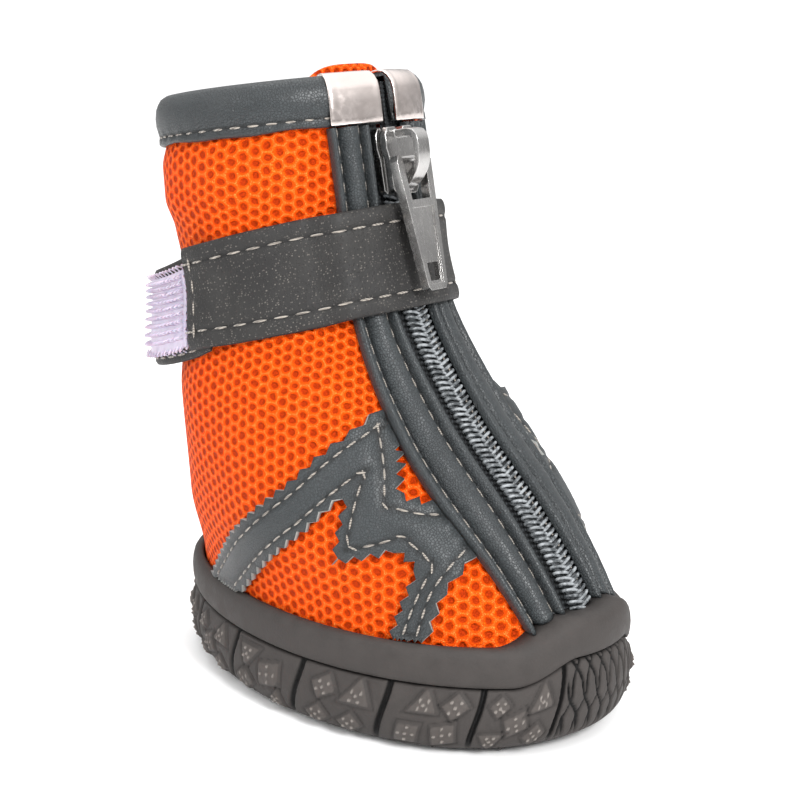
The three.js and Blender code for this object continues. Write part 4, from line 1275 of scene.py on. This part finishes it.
def makeOverlay(side, name):
    outline = sideCorners(overlay["outline"])
    window = sideCorners(overlay["window"])
    turn = 1 if area(outline) > 0 else -1
    windowTurn = -1 if area(window) > 0 else 1
    cutOutline = pinkedOutline(outline, turn)
    cutWindow = pinkedOutline(window, windowTurn)
    seams = [
        ring(insetOutline(outline, turn, overlay["inset"])),
        ring(insetOutline(window, windowTurn, overlay["inset"])),
    ]
    rises = np.linspace(0.17, 0.62, 60)
    edge = frontPoint(rises, side * (facingHalf(rises) + 0.12))[:, 1:]
    edge = np.concatenate([edge, edge[-1:] + [[-30, 8]]])
    flat, triangles = overlayNet(cutOutline, cutWindow, edge)
    middles = flat[triangles].mean(1)
    rise, angle = sidePlace(middles[:, 0], middles[:, 1], side)
    keep = inside(middles, cutOutline) & ~inside(middles, cutWindow)
    keep &= np.abs(lastForm(rise, angle)[:, 0]) > facingHalf(rise) + 0.1
    keep &= middles[:, 1] > rim["top"] + 0.2
    triangles = triangles[keep]
    used, places = np.unique(triangles, return_inverse=True)
    flat = flat[used]
    triangles = places.reshape(-1, 3)
    away = np.minimum(awayFrom(flat, seams[0]), awayFrom(flat, seams[1]))
    border = np.minimum(awayFrom(flat, ring(cutOutline)), awayFrom(flat, ring(cutWindow)))
    rise, angle = sidePlace(flat[:, 0], flat[:, 1], side)
    groove = overlay["groove"] * hump(away, 0, 0.5)
    out = boot["fit"] + boot["leather"] - groove + 0.1 * smoothStep(border / 1.5)
    made = meshFrom(name, clothPoint(rise, angle, out), triangles.tolist(), uv=flat, outward=side > 0)
    # painted shade: marks the sewn grooves, which the leatherette paints near black
    setShare(made, "seam", hump(away, 0, 0.3))
    addModifier(
        made, "SOLIDIFY", thickness=(boot["leather"] - 0.1) * millimetre, offset=-1, material_offset_rim=1)
    node = "overlay_right" if side < 0 else "overlay_left"
    finishPiece(made, "leatherette", [node], leatherette, cutEdge)
    paths = []
    for seam in seams:
        dense = np.concatenate([
            np.linspace(start, end, max(2, int(np.linalg.norm(end - start) / 0.5)))[:-1]
            for start, end in zip(seam[:-1], seam[1:])])
        rise, angle = sidePlace(dense[:, 0], dense[:, 1], side)
        x = np.abs(lastForm(rise, angle)[:, 0])
        good = (x > facingHalf(rise) + 0.9) & (dense[:, 1] > rim["top"] + 1.2)
        spots = clothPoint(rise, angle, boot["fit"] + boot["leather"] - 0.18)
        normal = lastNormal(rise, angle)
        paths += [(spots[run], normal[run]) for run in goodRuns(good)]
    return paths


overlayPaths = makeOverlay(-1, "overlay_leather_right") + makeOverlay(1, "overlay_leather_left")
makeStitches("overlay_stitches", overlayPaths, seamSizes | {"Pitch": overlay["stitchPitch"]})
print("overlays: made")

# zip: tape, coil, slider and tab
zipSizes = {
    "sliderShare": 0.865,
    "sliderLength": 9.4,
    "sliderWidth": 6.2,
    "sliderHeight": 3.0,
    "sliderSlot": (1.3, 1.9),
    "sliderRounding": 0.26,
    "crownWidth": 2.4,
    "crownHeight": 4.1,
    "tabLength": 18.5,
    "tabWidth": 7.2,
    "tabEnd": 0.54,
    "tabArm": 1.2,
    "tabThickness": 1.5,
    "tabPanel": 0.3,
    "tabBorder": 0.75,
    "tabRod": 0.5,
    "tabRounding": 0.2,
    "pivotOut": 4.3,
    "tilt": 5.0,
    "lift": 0.1,
    "pitch": 0.86,
    "slant": 0.3,
    "coilOut": 0.85,
}
sliderLow = zipSizes["sliderShare"] - zipSizes["sliderLength"] / 2 / boot["collarHeight"]
sliderHigh = zipSizes["sliderShare"] + zipSizes["sliderLength"] / 2 / boot["collarHeight"]


# one tree lays the coil's loops along each half of the chain
def makeCoilTree():
    lengths = {"Pitch": zipSizes["pitch"], "Loop width": 2.6, "Loop height": 1.1, "Wire": 0.23}
    tree = newTree("coil loops along a chain", "Chain", lengths, "Coil")
    tree.interface.new_socket("Slant", in_out="INPUT", socket_type="NodeSocketFloat")
    given = addNode(tree, "NodeGroupInput").outputs
    even, turned, _ = pathNodes(tree, given["Chain"], given["Pitch"], "Y")
    ring = addNode(tree, "GeometryNodeCurvePrimitiveCircle", {}, {"Resolution": 14, "Radius": 0.5})
    size = addNode(tree, "ShaderNodeCombineXYZ", {}, {
        "X": given["Loop width"], "Y": given["Loop height"], "Z": 1.0})
    shaped = addNode(tree, "GeometryNodeTransform", {}, {
        "Geometry": ring.outputs[0], "Scale": size.outputs[0]})
    slant = addNode(tree, "ShaderNodeCombineXYZ", {}, {"X": math.pi / 2, "Z": given["Slant"]})
    tilted = addNode(tree, "GeometryNodeTransform", {}, {
        "Geometry": shaped.outputs[0], "Rotation": slant.outputs[0]})
    wire = addNode(tree, "GeometryNodeCurvePrimitiveCircle", {}, {"Resolution": 7, "Radius": given["Wire"]})
    loop = addNode(tree, "GeometryNodeCurveToMesh", {}, {
        "Curve": tilted.outputs[0], "Profile Curve": wire.outputs[0]})
    return closeTree(tree, instanceNode(tree, even, loop.outputs[0], turned), given["Material"])


def chainPath(x, low, high, out):
    rises = np.linspace(low, high, 90)
    return frontPoint(rises, x, out), lastNormal(rises, frontAngle(rises, x))


def makeCoil():
    tree = makeCoilTree()
    low = float(rimRise(0.0, zipSizes["coilOut"]))
    halves = []
    for side in (-1, 1):
        stagger = (zipSizes["pitch"] / 4 * side) / boot["collarHeight"]
        path, normal = chainPath(side * 0.9, low + stagger, sliderLow + stagger, zipSizes["coilOut"])
        half = pathObject("coil_half", [(path, normal)])
        others = {"Slant": zipSizes["slant"] * side, "Material": coilNylon}
        halves.append(runTree(half, tree, {"Pitch": zipSizes["pitch"]}, others))
    made = joinInto(halves[0], halves[1:])
    made.name = "zip_coil_loops"
    finishPiece(made, "zip_coil", ["zip_coil"], coilNylon)
    paths = [chainPath(side * 2.75, low + 0.004, sliderLow, 0.06) for side in (-1, 1)]
    sizes = {"Pitch": 1.6, "Stitch length": 1.2, "Thread": 0.3}
    makeStitches("zip_stitches", paths, seamSizes | sizes)


makeCoil()
cadNodes["zip_tape"].data.materials.clear()
cadNodes["zip_tape"].data.materials.append(tapeCloth)
print("zip chain: made")


def sliderMatrix():
    origin = frontPoint(zipSizes["sliderShare"], 0.0)
    up = unit(frontPoint(sliderHigh, 0.0) - frontPoint(sliderLow, 0.0))
    across = np.array([1.0, 0.0, 0.0])
    out = np.cross(across, up)
    made = Matrix.Identity(4)
    for row in range(3):
        made[row][0], made[row][1], made[row][2], made[row][3] = across[row], up[row], out[row], origin[row]
    return made


# extruded outline, in the slider's own millimetres, as a mesh object at the origin
def plateFrom(name, corners, low, high):
    count = len(corners)
    points = [(x, y, low) for x, y in corners] + [(x, y, high) for x, y in corners]
    faces = [list(range(count))[::-1], [count + i for i in range(count)]]
    faces += [[i, (i + 1) % count, count + (i + 1) % count, count + i] for i in range(count)]
    return meshFrom(name, points, faces, smooth=False)


def combine(made, other, operation):
    modifier = addModifier(made, "BOOLEAN", operation=operation, solver="EXACT")
    modifier.object = other
    applyAll(made)
    bpy.data.objects.remove(other)
    return made


def mirrored(half):
    return half + [(-x, y) for x, y in reversed(half) if abs(x) > 1e-6]


def roundedBox(width, height, radius, x):
    made = []
    for k, (sx, sy) in enumerate(((1, 1), (-1, 1), (-1, -1), (1, -1))):
        for i in range(5):
            turn = math.pi / 2 * (k + i / 4)
            made.append((
                x + sx * (width / 2 - radius) + radius * math.cos(turn),
                sy * (height / 2 - radius) + radius * math.sin(turn)))
    return made


def smoothMetal(made, matrix, width):
    made.data.transform(Matrix.Scale(1 / millimetre, 4))
    made.data.transform(matrix)
    made.data.transform(Matrix.Scale(millimetre, 4))
    addModifier(
        made, "BEVEL", width=width * millimetre, segments=3, limit_method="ANGLE",
        angle_limit=math.radians(35))
    made.data.shade_smooth()
    addModifier(made, "WEIGHTED_NORMAL", keep_sharp=True)
    return made


# side views of the crown and of its opening, from the upper end down: along is a share of
# half the slider's length, rise of the crown's height
crownEdge = [
    (0.9, -0.06), (0.9, 0.55), (0.84, 0.82), (0.7, 0.96), (0.5, 1.0), (0.15, 1.0), (-0.15, 0.94),
    (-0.38, 0.8), (-0.6, 0.56), (-0.78, 0.28), (-0.92, -0.06),
]
crownOpening = [
    (0.68, 0.0), (0.67, 0.58), (0.6, 0.72), (0.5, 0.77), (0.1, 0.77), (-0.08, 0.72), (-0.24, 0.6),
    (-0.36, 0.4), (-0.42, 0.0),
]


def crownPlate(name, edge, width):
    top = zipSizes["lift"] + zipSizes["sliderHeight"]
    side = [(a * zipSizes["sliderLength"] / 2, top + r * zipSizes["crownHeight"]) for a, r in edge]
    made = plateFrom(name, side, -width / 2, width / 2)
    made.data.transform(Matrix(((0, 0, 1, 0), (1, 0, 0, 0), (0, 1, 0, 0), (0, 0, 0, 1))))
    return made


# half of the slider's plan, in shares of its half width and half length
sliderPlan = [
    (0, -1), (0.62, -1), (0.84, -0.84), (0.87, 0.05), (1, 0.4), (1, 0.8), (0.8, 1), (0.3, 1), (0, 0.79),
]


def makeSlider():
    long = zipSizes["sliderLength"] / 2
    wide = zipSizes["sliderWidth"] / 2
    top = zipSizes["lift"] + zipSizes["sliderHeight"]
    half = [(x * wide, y * long) for x, y in sliderPlan]
    body = plateFrom("zip_slider_body", mirrored(half), zipSizes["lift"], top)
    for side in (-1, 1):
        mouth = roundedBox(2.0, 2 * long + 2, 0.3, side * wide)
        slot = plateFrom("slot", mouth, *zipSizes["sliderSlot"])
        combine(body, slot, "DIFFERENCE")
    arch = crownPlate("arch", crownEdge, zipSizes["crownWidth"])
    combine(arch, crownPlate("opening", crownOpening, 2 * zipSizes["crownWidth"]), "DIFFERENCE")
    combine(body, arch, "UNION")
    smoothMetal(body, sliderMatrix(), zipSizes["sliderRounding"])
    return finishPiece(body, "plated_metal", ["zip_slider"], zinc)


# corner of the tab's plan: across is a share of its half width there, less an edge in
# millimetres, along a share of its length below the pivot
def tabCorner(across, along, edge=0.0):
    half = zipSizes["tabWidth"] / 2 * mix(1, zipSizes["tabEnd"], along)
    return across * half - edge, -along * zipSizes["tabLength"]


# halves of the tab's outline and of its cut-outs, as tabCorner takes them
tabPlan = {
    "edge": [(0.86, -0.03), (1, 0.02), (1, 0.965), (0.8, 1)],
    "eye": [(1, -0.1, zipSizes["tabArm"]), (1, 0.31, zipSizes["tabArm"])],
    "slot": [(0.5, 0.79), (0.5, 0.93)],
    "panel": [(1, 0.37, zipSizes["tabBorder"]), (1, 0.955, zipSizes["tabBorder"])],
}


def makeTab():
    outlines = {key: mirrored([tabCorner(*row) for row in rows]) for key, rows in tabPlan.items()}
    thick = zipSizes["tabThickness"] / 2
    plate = plateFrom("pull_tab_plate", outlines["edge"], -thick, thick)
    clear = 2
    sunk = thick - zipSizes["tabPanel"]
    for key, low, high in (
        ("eye", -clear, clear), ("slot", -clear, clear), ("panel", sunk, clear), ("panel", -clear, -sunk),
    ):
        combine(plate, plateFrom("cutter", outlines[key], low, high), "DIFFERENCE")
    turns = np.linspace(0, 2 * math.pi, 16, endpoint=False)
    bar = [(zipSizes["tabRod"] * math.cos(a), zipSizes["tabRod"] * math.sin(a)) for a in turns]
    reach = tabCorner(0.84, 0)[0]
    rod = plateFrom("rod", bar, -reach, reach)
    rod.data.transform(Matrix.Rotation(math.pi / 2, 4, "Y"))
    combine(plate, rod, "UNION")
    pivot = Matrix.Translation((0, 0, zipSizes["pivotOut"] * millimetre))
    turn = pivot @ Matrix.Rotation(-math.radians(zipSizes["tilt"]), 4, "X")
    plate.data.transform(turn)
    smoothMetal(plate, sliderMatrix(), zipSizes["tabRounding"])
    return finishPiece(plate, "plated_metal", ["pull_tab"], zinc, body="pull_tab")


makeSlider()
makeTab()
print("slider and tab: made")

# outsole: a moulded cup with side blocks, toe scales and tread lugs
sole = {
    "floor": 4.4,
    "tread": 1.6,
    "relief": 1.0,
    "toeSpring": 1.7,
    "heelLift": 1.0,
    "firstGroove": 19.5,
    "blockTurn": 22.5,
    "columns": 900,
    "sideRows": 62,
    "pocket": 0.14,
    "arcLength": 0.59,
    "sideHeight": 10.2,
    "patch": 0.3,
    "moat": 0.22,
    "dot": 0.34,
    "scaleTurn": 5.2,
    "scale": 0.75,
}
# rows from the ground up to the band: inset is a share of soleWidth, low of the side's height
soleSide = {
    "row": [0, 1, 2, 3, 4, 5, 6],
    "inset": [0.15, 0.1, 0.05, 0.018, 0.002, 0.012, 0.027],
    "low": [0, 0, 0.06, 0.22, 0.58, 0.93, 1],
}
# raised patches of the side blocks: place from the block's middle and half width in
# millimetres, number of sides and turn in degrees; each carries five dots
blockPatterns = [
    [(-2.9, 2.3, 1.35, 3, 90), (0.6, -0.3, 1.75, 4, 20), (-3.1, -2.7, 1.5, 4, 0), (3.8, 2.4, 1.3, 4, 0),
     (3.7, -2.9, 1.2, 3, -90)],
    [(-3.1, 2.3, 1.55, 4, 0), (1.3, 2.3, 1.35, 3, 90), (-2.6, -2.0, 1.75, 4, 30), (2.4, -2.3, 1.65, 4, 45)],
    [(-2.7, 1.8, 1.5, 3, 90), (2.3, 2.0, 1.55, 4, 10), (-2.7, -2.7, 1.45, 4, 0), (2.3, -2.7, 1.45, 4, 0)],
    [(-1.8, 0.6, 2.0, 4, 30), (3.0, 2.4, 1.3, 3, -90), (3.0, -2.1, 1.65, 4, 0), (-3.8, -3.1, 1.1, 3, 90)],
]


def outlineAt(angle):
    half = boot["soleWidth"] / 2
    end = boot["soleLength"] / 2
    share = (1 - np.cos(angle)) / 2
    return np.stack([half * np.sin(angle) * (1 - boot["heelTaper"] * share**2), -end * np.cos(angle)], -1)


def outlineInset(angle, inset):
    along = unit(outlineAt(angle + 1e-3) - outlineAt(angle - 1e-3))
    normal = np.stack([-along[..., 1], along[..., 0]], -1)
    return outlineAt(angle) + normal * inset[..., None]


def springAt(y):
    toe = np.maximum(0, (-y / boot["soleLength"] - 0.25) / 0.25)
    heel = np.maximum(0, (y / boot["soleLength"] - 0.36) / 0.14)
    return sole["toeSpring"] * toe**2 + sole["heelLift"] * heel**2


# distance outside a regular polygon's edge, negative inside it
def polygonEdge(x, y, apothem, sides, turn):
    part = 2 * math.pi / sides
    angle = (np.arctan2(y, x) - math.radians(turn)) % part - part / 2
    return np.hypot(x, y) * np.cos(angle) - apothem


# relief of the sole's side in millimetres, outwards: degrees round it and the share up
def sideRelief(degrees, share):
    relief = np.zeros(np.broadcast(degrees, share).shape)
    turned = (degrees + 180) % 360 - 180
    side = np.abs(turned) + 2.4 * np.sin(2.6 * share - 1.3)
    steps = (side - sole["firstGroove"]) / sole["blockTurn"]
    nearest = np.abs(steps - np.round(steps)) * sole["blockTurn"]
    nearest = np.where(side < sole["firstGroove"] - 3, 99, nearest)
    nearest = np.minimum(nearest, 180 - np.abs(turned))
    body = smoothStep((share - 0.02) / 0.25) * smoothStep((1.02 - share) / 0.06)
    relief = relief - sole["relief"] * (1 - smoothStep((np.abs(nearest) - 0.25) / 0.75)) * body
    block = np.floor(steps)
    middle = sole["firstGroove"] + (block + 0.5) * sole["blockTurn"]
    x = (side - middle) * sole["arcLength"]
    y = (share - 0.52) * sole["sideHeight"]
    field = smoothStep((share - 0.03) / 0.06) * smoothStep((0.97 - share) / 0.05)
    for kind, pattern in enumerate(blockPatterns):
        chosen = (block + np.where(turned < 0, 0, 2)) % len(blockPatterns) == kind
        chosen = chosen & (side > sole["firstGroove"])
        raised = np.zeros(x.shape)
        dots = np.zeros(x.shape)
        for px, py, half, sides, turn in pattern:
            edge = polygonEdge(x - px, y - py, half, sides, turn)
            raised = raised + sole["patch"] * smoothStep(-edge / 0.3)
            raised = raised - sole["moat"] * (1 - smoothStep(np.abs(edge - 0.22) / 0.3))
            for k in range(5):
                reach = 0.0 if k == 4 else 0.62 * half
                dx = px + reach * math.cos(math.radians(turn + 90 * k + 45))
                dy = py + reach * math.sin(math.radians(turn + 90 * k + 45))
                dots = np.maximum(dots, 1 - smoothStep((np.hypot(x - dx, y - dy) - 0.1) / 0.26))
        relief = relief + chosen * field * (raised + sole["dot"] * dots)
    across = turned / sole["scaleTurn"]
    bend = 0.1 * np.sin(share * 14)
    first = np.abs(((across + 1.7 * share + bend) % 1) - 0.5)
    second = np.abs(((across - 1.7 * share - bend) % 1) - 0.5)
    scale = np.maximum(smoothStep((first - 0.38) / 0.09), smoothStep((second - 0.38) / 0.09))
    toe = smoothStep((sole["firstGroove"] - 1.0 - side) / 1.0)
    relief = relief - sole["scale"] * scale * toe * smoothStep((share - 0.04) / 0.1) * body
    return relief - 0.55 * smoothStep((share - 0.95) / 0.04)


# rounded band under the rim: inset in shares of soleWidth and share of the band's height
bandRows = [
    (0.0165, 0.0), (0.0125, 0.03), (0.009, 0.12), (0.006, 0.3), (0.005, 0.5), (0.007, 0.7),
    (0.011, 0.84), (0.018, 0.94), (0.027, 0.985), (0.036, 1.0),
]


def makeOutsole():
    degrees = np.linspace(-180, 180, sole["columns"], endpoint=False)[None, :]
    angle = np.radians(degrees)
    rows = np.linspace(0, soleSide["row"][-1], sole["sideRows"])[:, None]
    inset = columnAt(soleSide, "row", "inset", rows) * boot["soleWidth"] + 0 * angle
    share = np.clip(columnAt(soleSide, "row", "low", rows), 0, 1) + 0 * angle
    relief = sideRelief(degrees, share)
    flat = outlineInset(angle + 0 * rows, inset - relief)
    top = rimTopAt(flat[..., 0], flat[..., 1])
    z = mix(springAt(flat[..., 1]), top - rim["band"], share)
    z = z + np.maximum(-relief, 0) * 0.7 * (1 - smoothStep(share / 0.1))
    side = np.concatenate([flat, z[..., None]], -1)
    band = []
    for insetShare, height in bandRows:
        flat = outlineInset(angle[0], np.full(angle.shape[1], insetShare * boot["soleWidth"]))
        top = rimTopAt(flat[:, 0], flat[:, 1])
        band.append(np.concatenate([flat, (top - rim["band"] * (1 - height))[:, None]], -1))
    topLine = band[-1]
    inner = []
    for t in (0.0, 0.3, 0.65, 1.0):
        base = lastPoint(topLine[:, 2] / boot["collarHeight"], angle[0], boot["fit"])
        z = mix(topLine[:, 2], sole["floor"], t)
        at = lastPoint(z / boot["collarHeight"], angle[0], boot["fit"])
        row = at if t else base
        row[:, 2] = z - (0.0 if t else 0.25)
        inner.append(row)
    for scale in (0.6, 0.2):
        row = inner[3].copy()
        row[:, :2] *= scale
        inner.append(row)
    pocket = []
    for scale, lift in ((0.2, 1.0), (0.6, 1.0), (0.985, 1.0), (1.0, 0.8), (1.0, 0.15), (1.0, 0.0)):
        flat = outlineInset(angle[0], np.full(angle.shape[1], sole["pocket"] * boot["soleWidth"])) * scale
        z = springAt(flat[:, 1]) * (1 if scale > 0.7 else scale) + sole["tread"] * lift
        pocket.append(np.concatenate([flat, z[:, None]], -1))
    grid = np.stack([*pocket, *side, *band, *inner])
    count, columns = grid.shape[:2]
    faces = gridFaces(count, columns, roundColumns=True)
    points = np.concatenate([grid.reshape(-1, 3), [[0, 0, sole["tread"]]], [[0, 0, sole["floor"]]]])
    low, high = count * columns, count * columns + 1
    for j in range(columns):
        following = (j + 1) % columns
        faces.append([low, following, j])
        faces.append([high, (count - 1) * columns + j, (count - 1) * columns + following])
    made = meshFrom("outsole_rubber", points, faces)
    reliefs = np.zeros(len(points), np.float32)
    start = len(pocket) * columns
    reliefs[start:start + relief.size] = relief.ravel()
    setShare(made, "relief", reliefs)
    joinInto(made, makeLugs())
    return finishPiece(made, "rubber", ["outsole"], rubber)


# tread lugs under the sole: sides, place along and across, size, turn and whether it is mirrored
treadLugs = [
    (6, 0.29, 0, 0.05, 0, False), (6, 0.36, 0, 0.05, 0, False), (6, 0.43, 0, 0.05, 0, False),
    (6, 0.5, 0, 0.05, 0, False), (4, 0.57, 0, 0.05, 0, False), (16, 0.29, 0.17, 0.085, 0, False),
    (4, 0.29, -0.13, 0.07, 45, False), (4, 0.19, 0.05, 0.055, 0, True), (4, 0.19, 0.15, 0.055, 0, True),
    (3, 0.13, 0.09, 0.055, 180, True), (3, 0.135, 0.2, 0.055, 0, True), (4, 0.385, 0.16, 0.07, 45, True),
    (4, 0.48, 0.12, 0.06, 45, True), (4, 0.24, 0.29, 0.06, 30, True), (4, 0.34, 0.31, 0.06, 20, True),
    (4, 0.44, 0.3, 0.06, 0, True), (4, 0.53, 0.25, 0.06, -20, True), (3, 0.6, 0.12, 0.06, 0, True),
    (3, 0.63, 0.23, 0.06, 180, True), (3, 0.68, 0.07, 0.06, 180, True), (3, 0.71, 0.2, 0.06, 0, True),
    (3, 0.78, 0.15, 0.06, 180, True), (4, 0.76, 0, 0.06, 0, False), (4, 0.82, 0.06, 0.055, 0, True),
    (4, 0.88, 0, 0.055, 0, False),
]


def makeLugs():
    made = []
    for sides, along, across, size, turn, both in treadLugs:
        for mirror in ((1, -1) if both else (1,)):
            corners = []
            for i in range(sides):
                a = 2 * math.pi * i / sides + math.radians(turn)
                x = mirror * (across * boot["soleWidth"] + size * boot["soleWidth"] * math.sin(a))
                y = (along - 0.5) * boot["soleLength"] + size * boot["soleWidth"] * math.cos(a)
                corners.append((x, y))
            centre = np.mean(corners, 0)
            foot = float(springAt(np.array(centre[1])))
            rows = []
            top = sole["tread"] + foot + 0.6
            for scale, z in ((1.12, top), (1.0, 0.3 + foot), (0.86, foot), (0.5, foot)):
                for x, y in corners:
                    spot = centre + (np.array([x, y]) - centre) * scale
                    rows.append((spot[0], spot[1], z))
            faces = gridFaces(4, sides, roundColumns=True) + endFaces(4, sides)
            made.append(meshFrom("lug", rows, faces, smooth=False))
    return made


makeOutsole()
print("outsole: made")


# insole: foam sheet in the cup, dished a little; rings by share of the outline and height
insoleRings = [
    (0.3, 0), (0.97, 0), (1.0, 0.5), (1.0, 1.5), (0.97, 1.95), (0.9, 2.0), (0.75, 1.85), (0.5, 1.65),
    (0.2, 1.6),
]


def makeInsole():
    rings = []
    inside = -boot["wall"] - 0.42
    low = sole["floor"] + boot["fit"]
    angle = np.linspace(0, 2 * math.pi, 120, endpoint=False)
    for scale, up in insoleRings:
        row = lastPoint(low / boot["collarHeight"], angle, inside)
        row[:, :2] *= scale
        row[:, 2] = low + up
        rings.append(row)
    size = len(angle)
    faces = gridFaces(len(rings), size, roundColumns=True) + endFaces(len(rings), size)
    made = meshFrom("insole_foam_sheet", np.stack(rings), faces)
    return finishPiece(made, "insole_foam", ["insole"], insoleCloth)


makeInsole()
print("insole: made")

# camera: where the photograph was taken from, aimed at the middle of this one boot
camera = {"place": (-179.0, -158.3, 99.9), "aim": (1.5, 0.5, 41.5), "angle": 26.5}


def aimedObject(name, data, place, aim):
    made = newObject(name, data)
    made.location = Vector(place) * millimetre
    made.rotation_euler = (Vector(aim) * millimetre - made.location).to_track_quat("-Z", "Y").to_euler()
    return made


def makeCamera():
    data = bpy.data.cameras.new("camera")
    data.sensor_fit = "HORIZONTAL"
    data.sensor_width = 36
    data.angle = math.radians(camera["angle"])
    data.clip_start = 0.01
    bpy.context.scene.camera = aimedObject("camera", data, camera["place"], camera["aim"])


# soft studio light: a key in front of the toe, a weak fill at the left and a top light
lights = {
    "key": {"place": (-150, -460, 360), "size": 170, "power": 3.0},
    "fill": {"place": (-430, 60, 300), "size": 300, "power": 0.6},
    "top": {"place": (40, 120, 620), "size": 400, "power": 1.0},
}


def makeLights():
    for name, light in lights.items():
        data = bpy.data.lights.new(name, "AREA")
        data.size = light["size"] * millimetre
        data.energy = light["power"]
        aimedObject(name, data, light["place"], (0, 0, 40))
    world = bpy.data.worlds.new("studio")
    bpy.context.scene.world = world
    world.use_nodes = True
    tree = world.node_tree
    background = tree.nodes["Background"]
    background.inputs["Color"].default_value = fromHex("#FFFFFF")
    direction = addNode(tree, "ShaderNodeTexCoord").outputs["Generated"]
    height = addNode(tree, "ShaderNodeSeparateXYZ", {}, {0: direction}).outputs["Z"]
    tree.links.new(mapNode(tree, height, 0.0, 0.7, 0.36, 1.34), background.inputs["Strength"])
    bpy.context.scene.view_settings.view_transform = "Standard"


def makeFloor():
    half = 30000.0
    corners = [(-half, -half, 0), (half, -half, 0), (half, half, 0), (-half, half, 0)]
    made = meshFrom("studio_floor", corners, [[0, 1, 2, 3]], smooth=False, outward=True)
    board = cloudedMaterial("matt studio board", {"Roughness": 0.9}, 60.0, "#FCFCFC", "#FFFFFF")[0]
    made.data.materials.append(board)


makeCamera()
makeLights()
makeFloor()
print("camera, light and floor: ready")
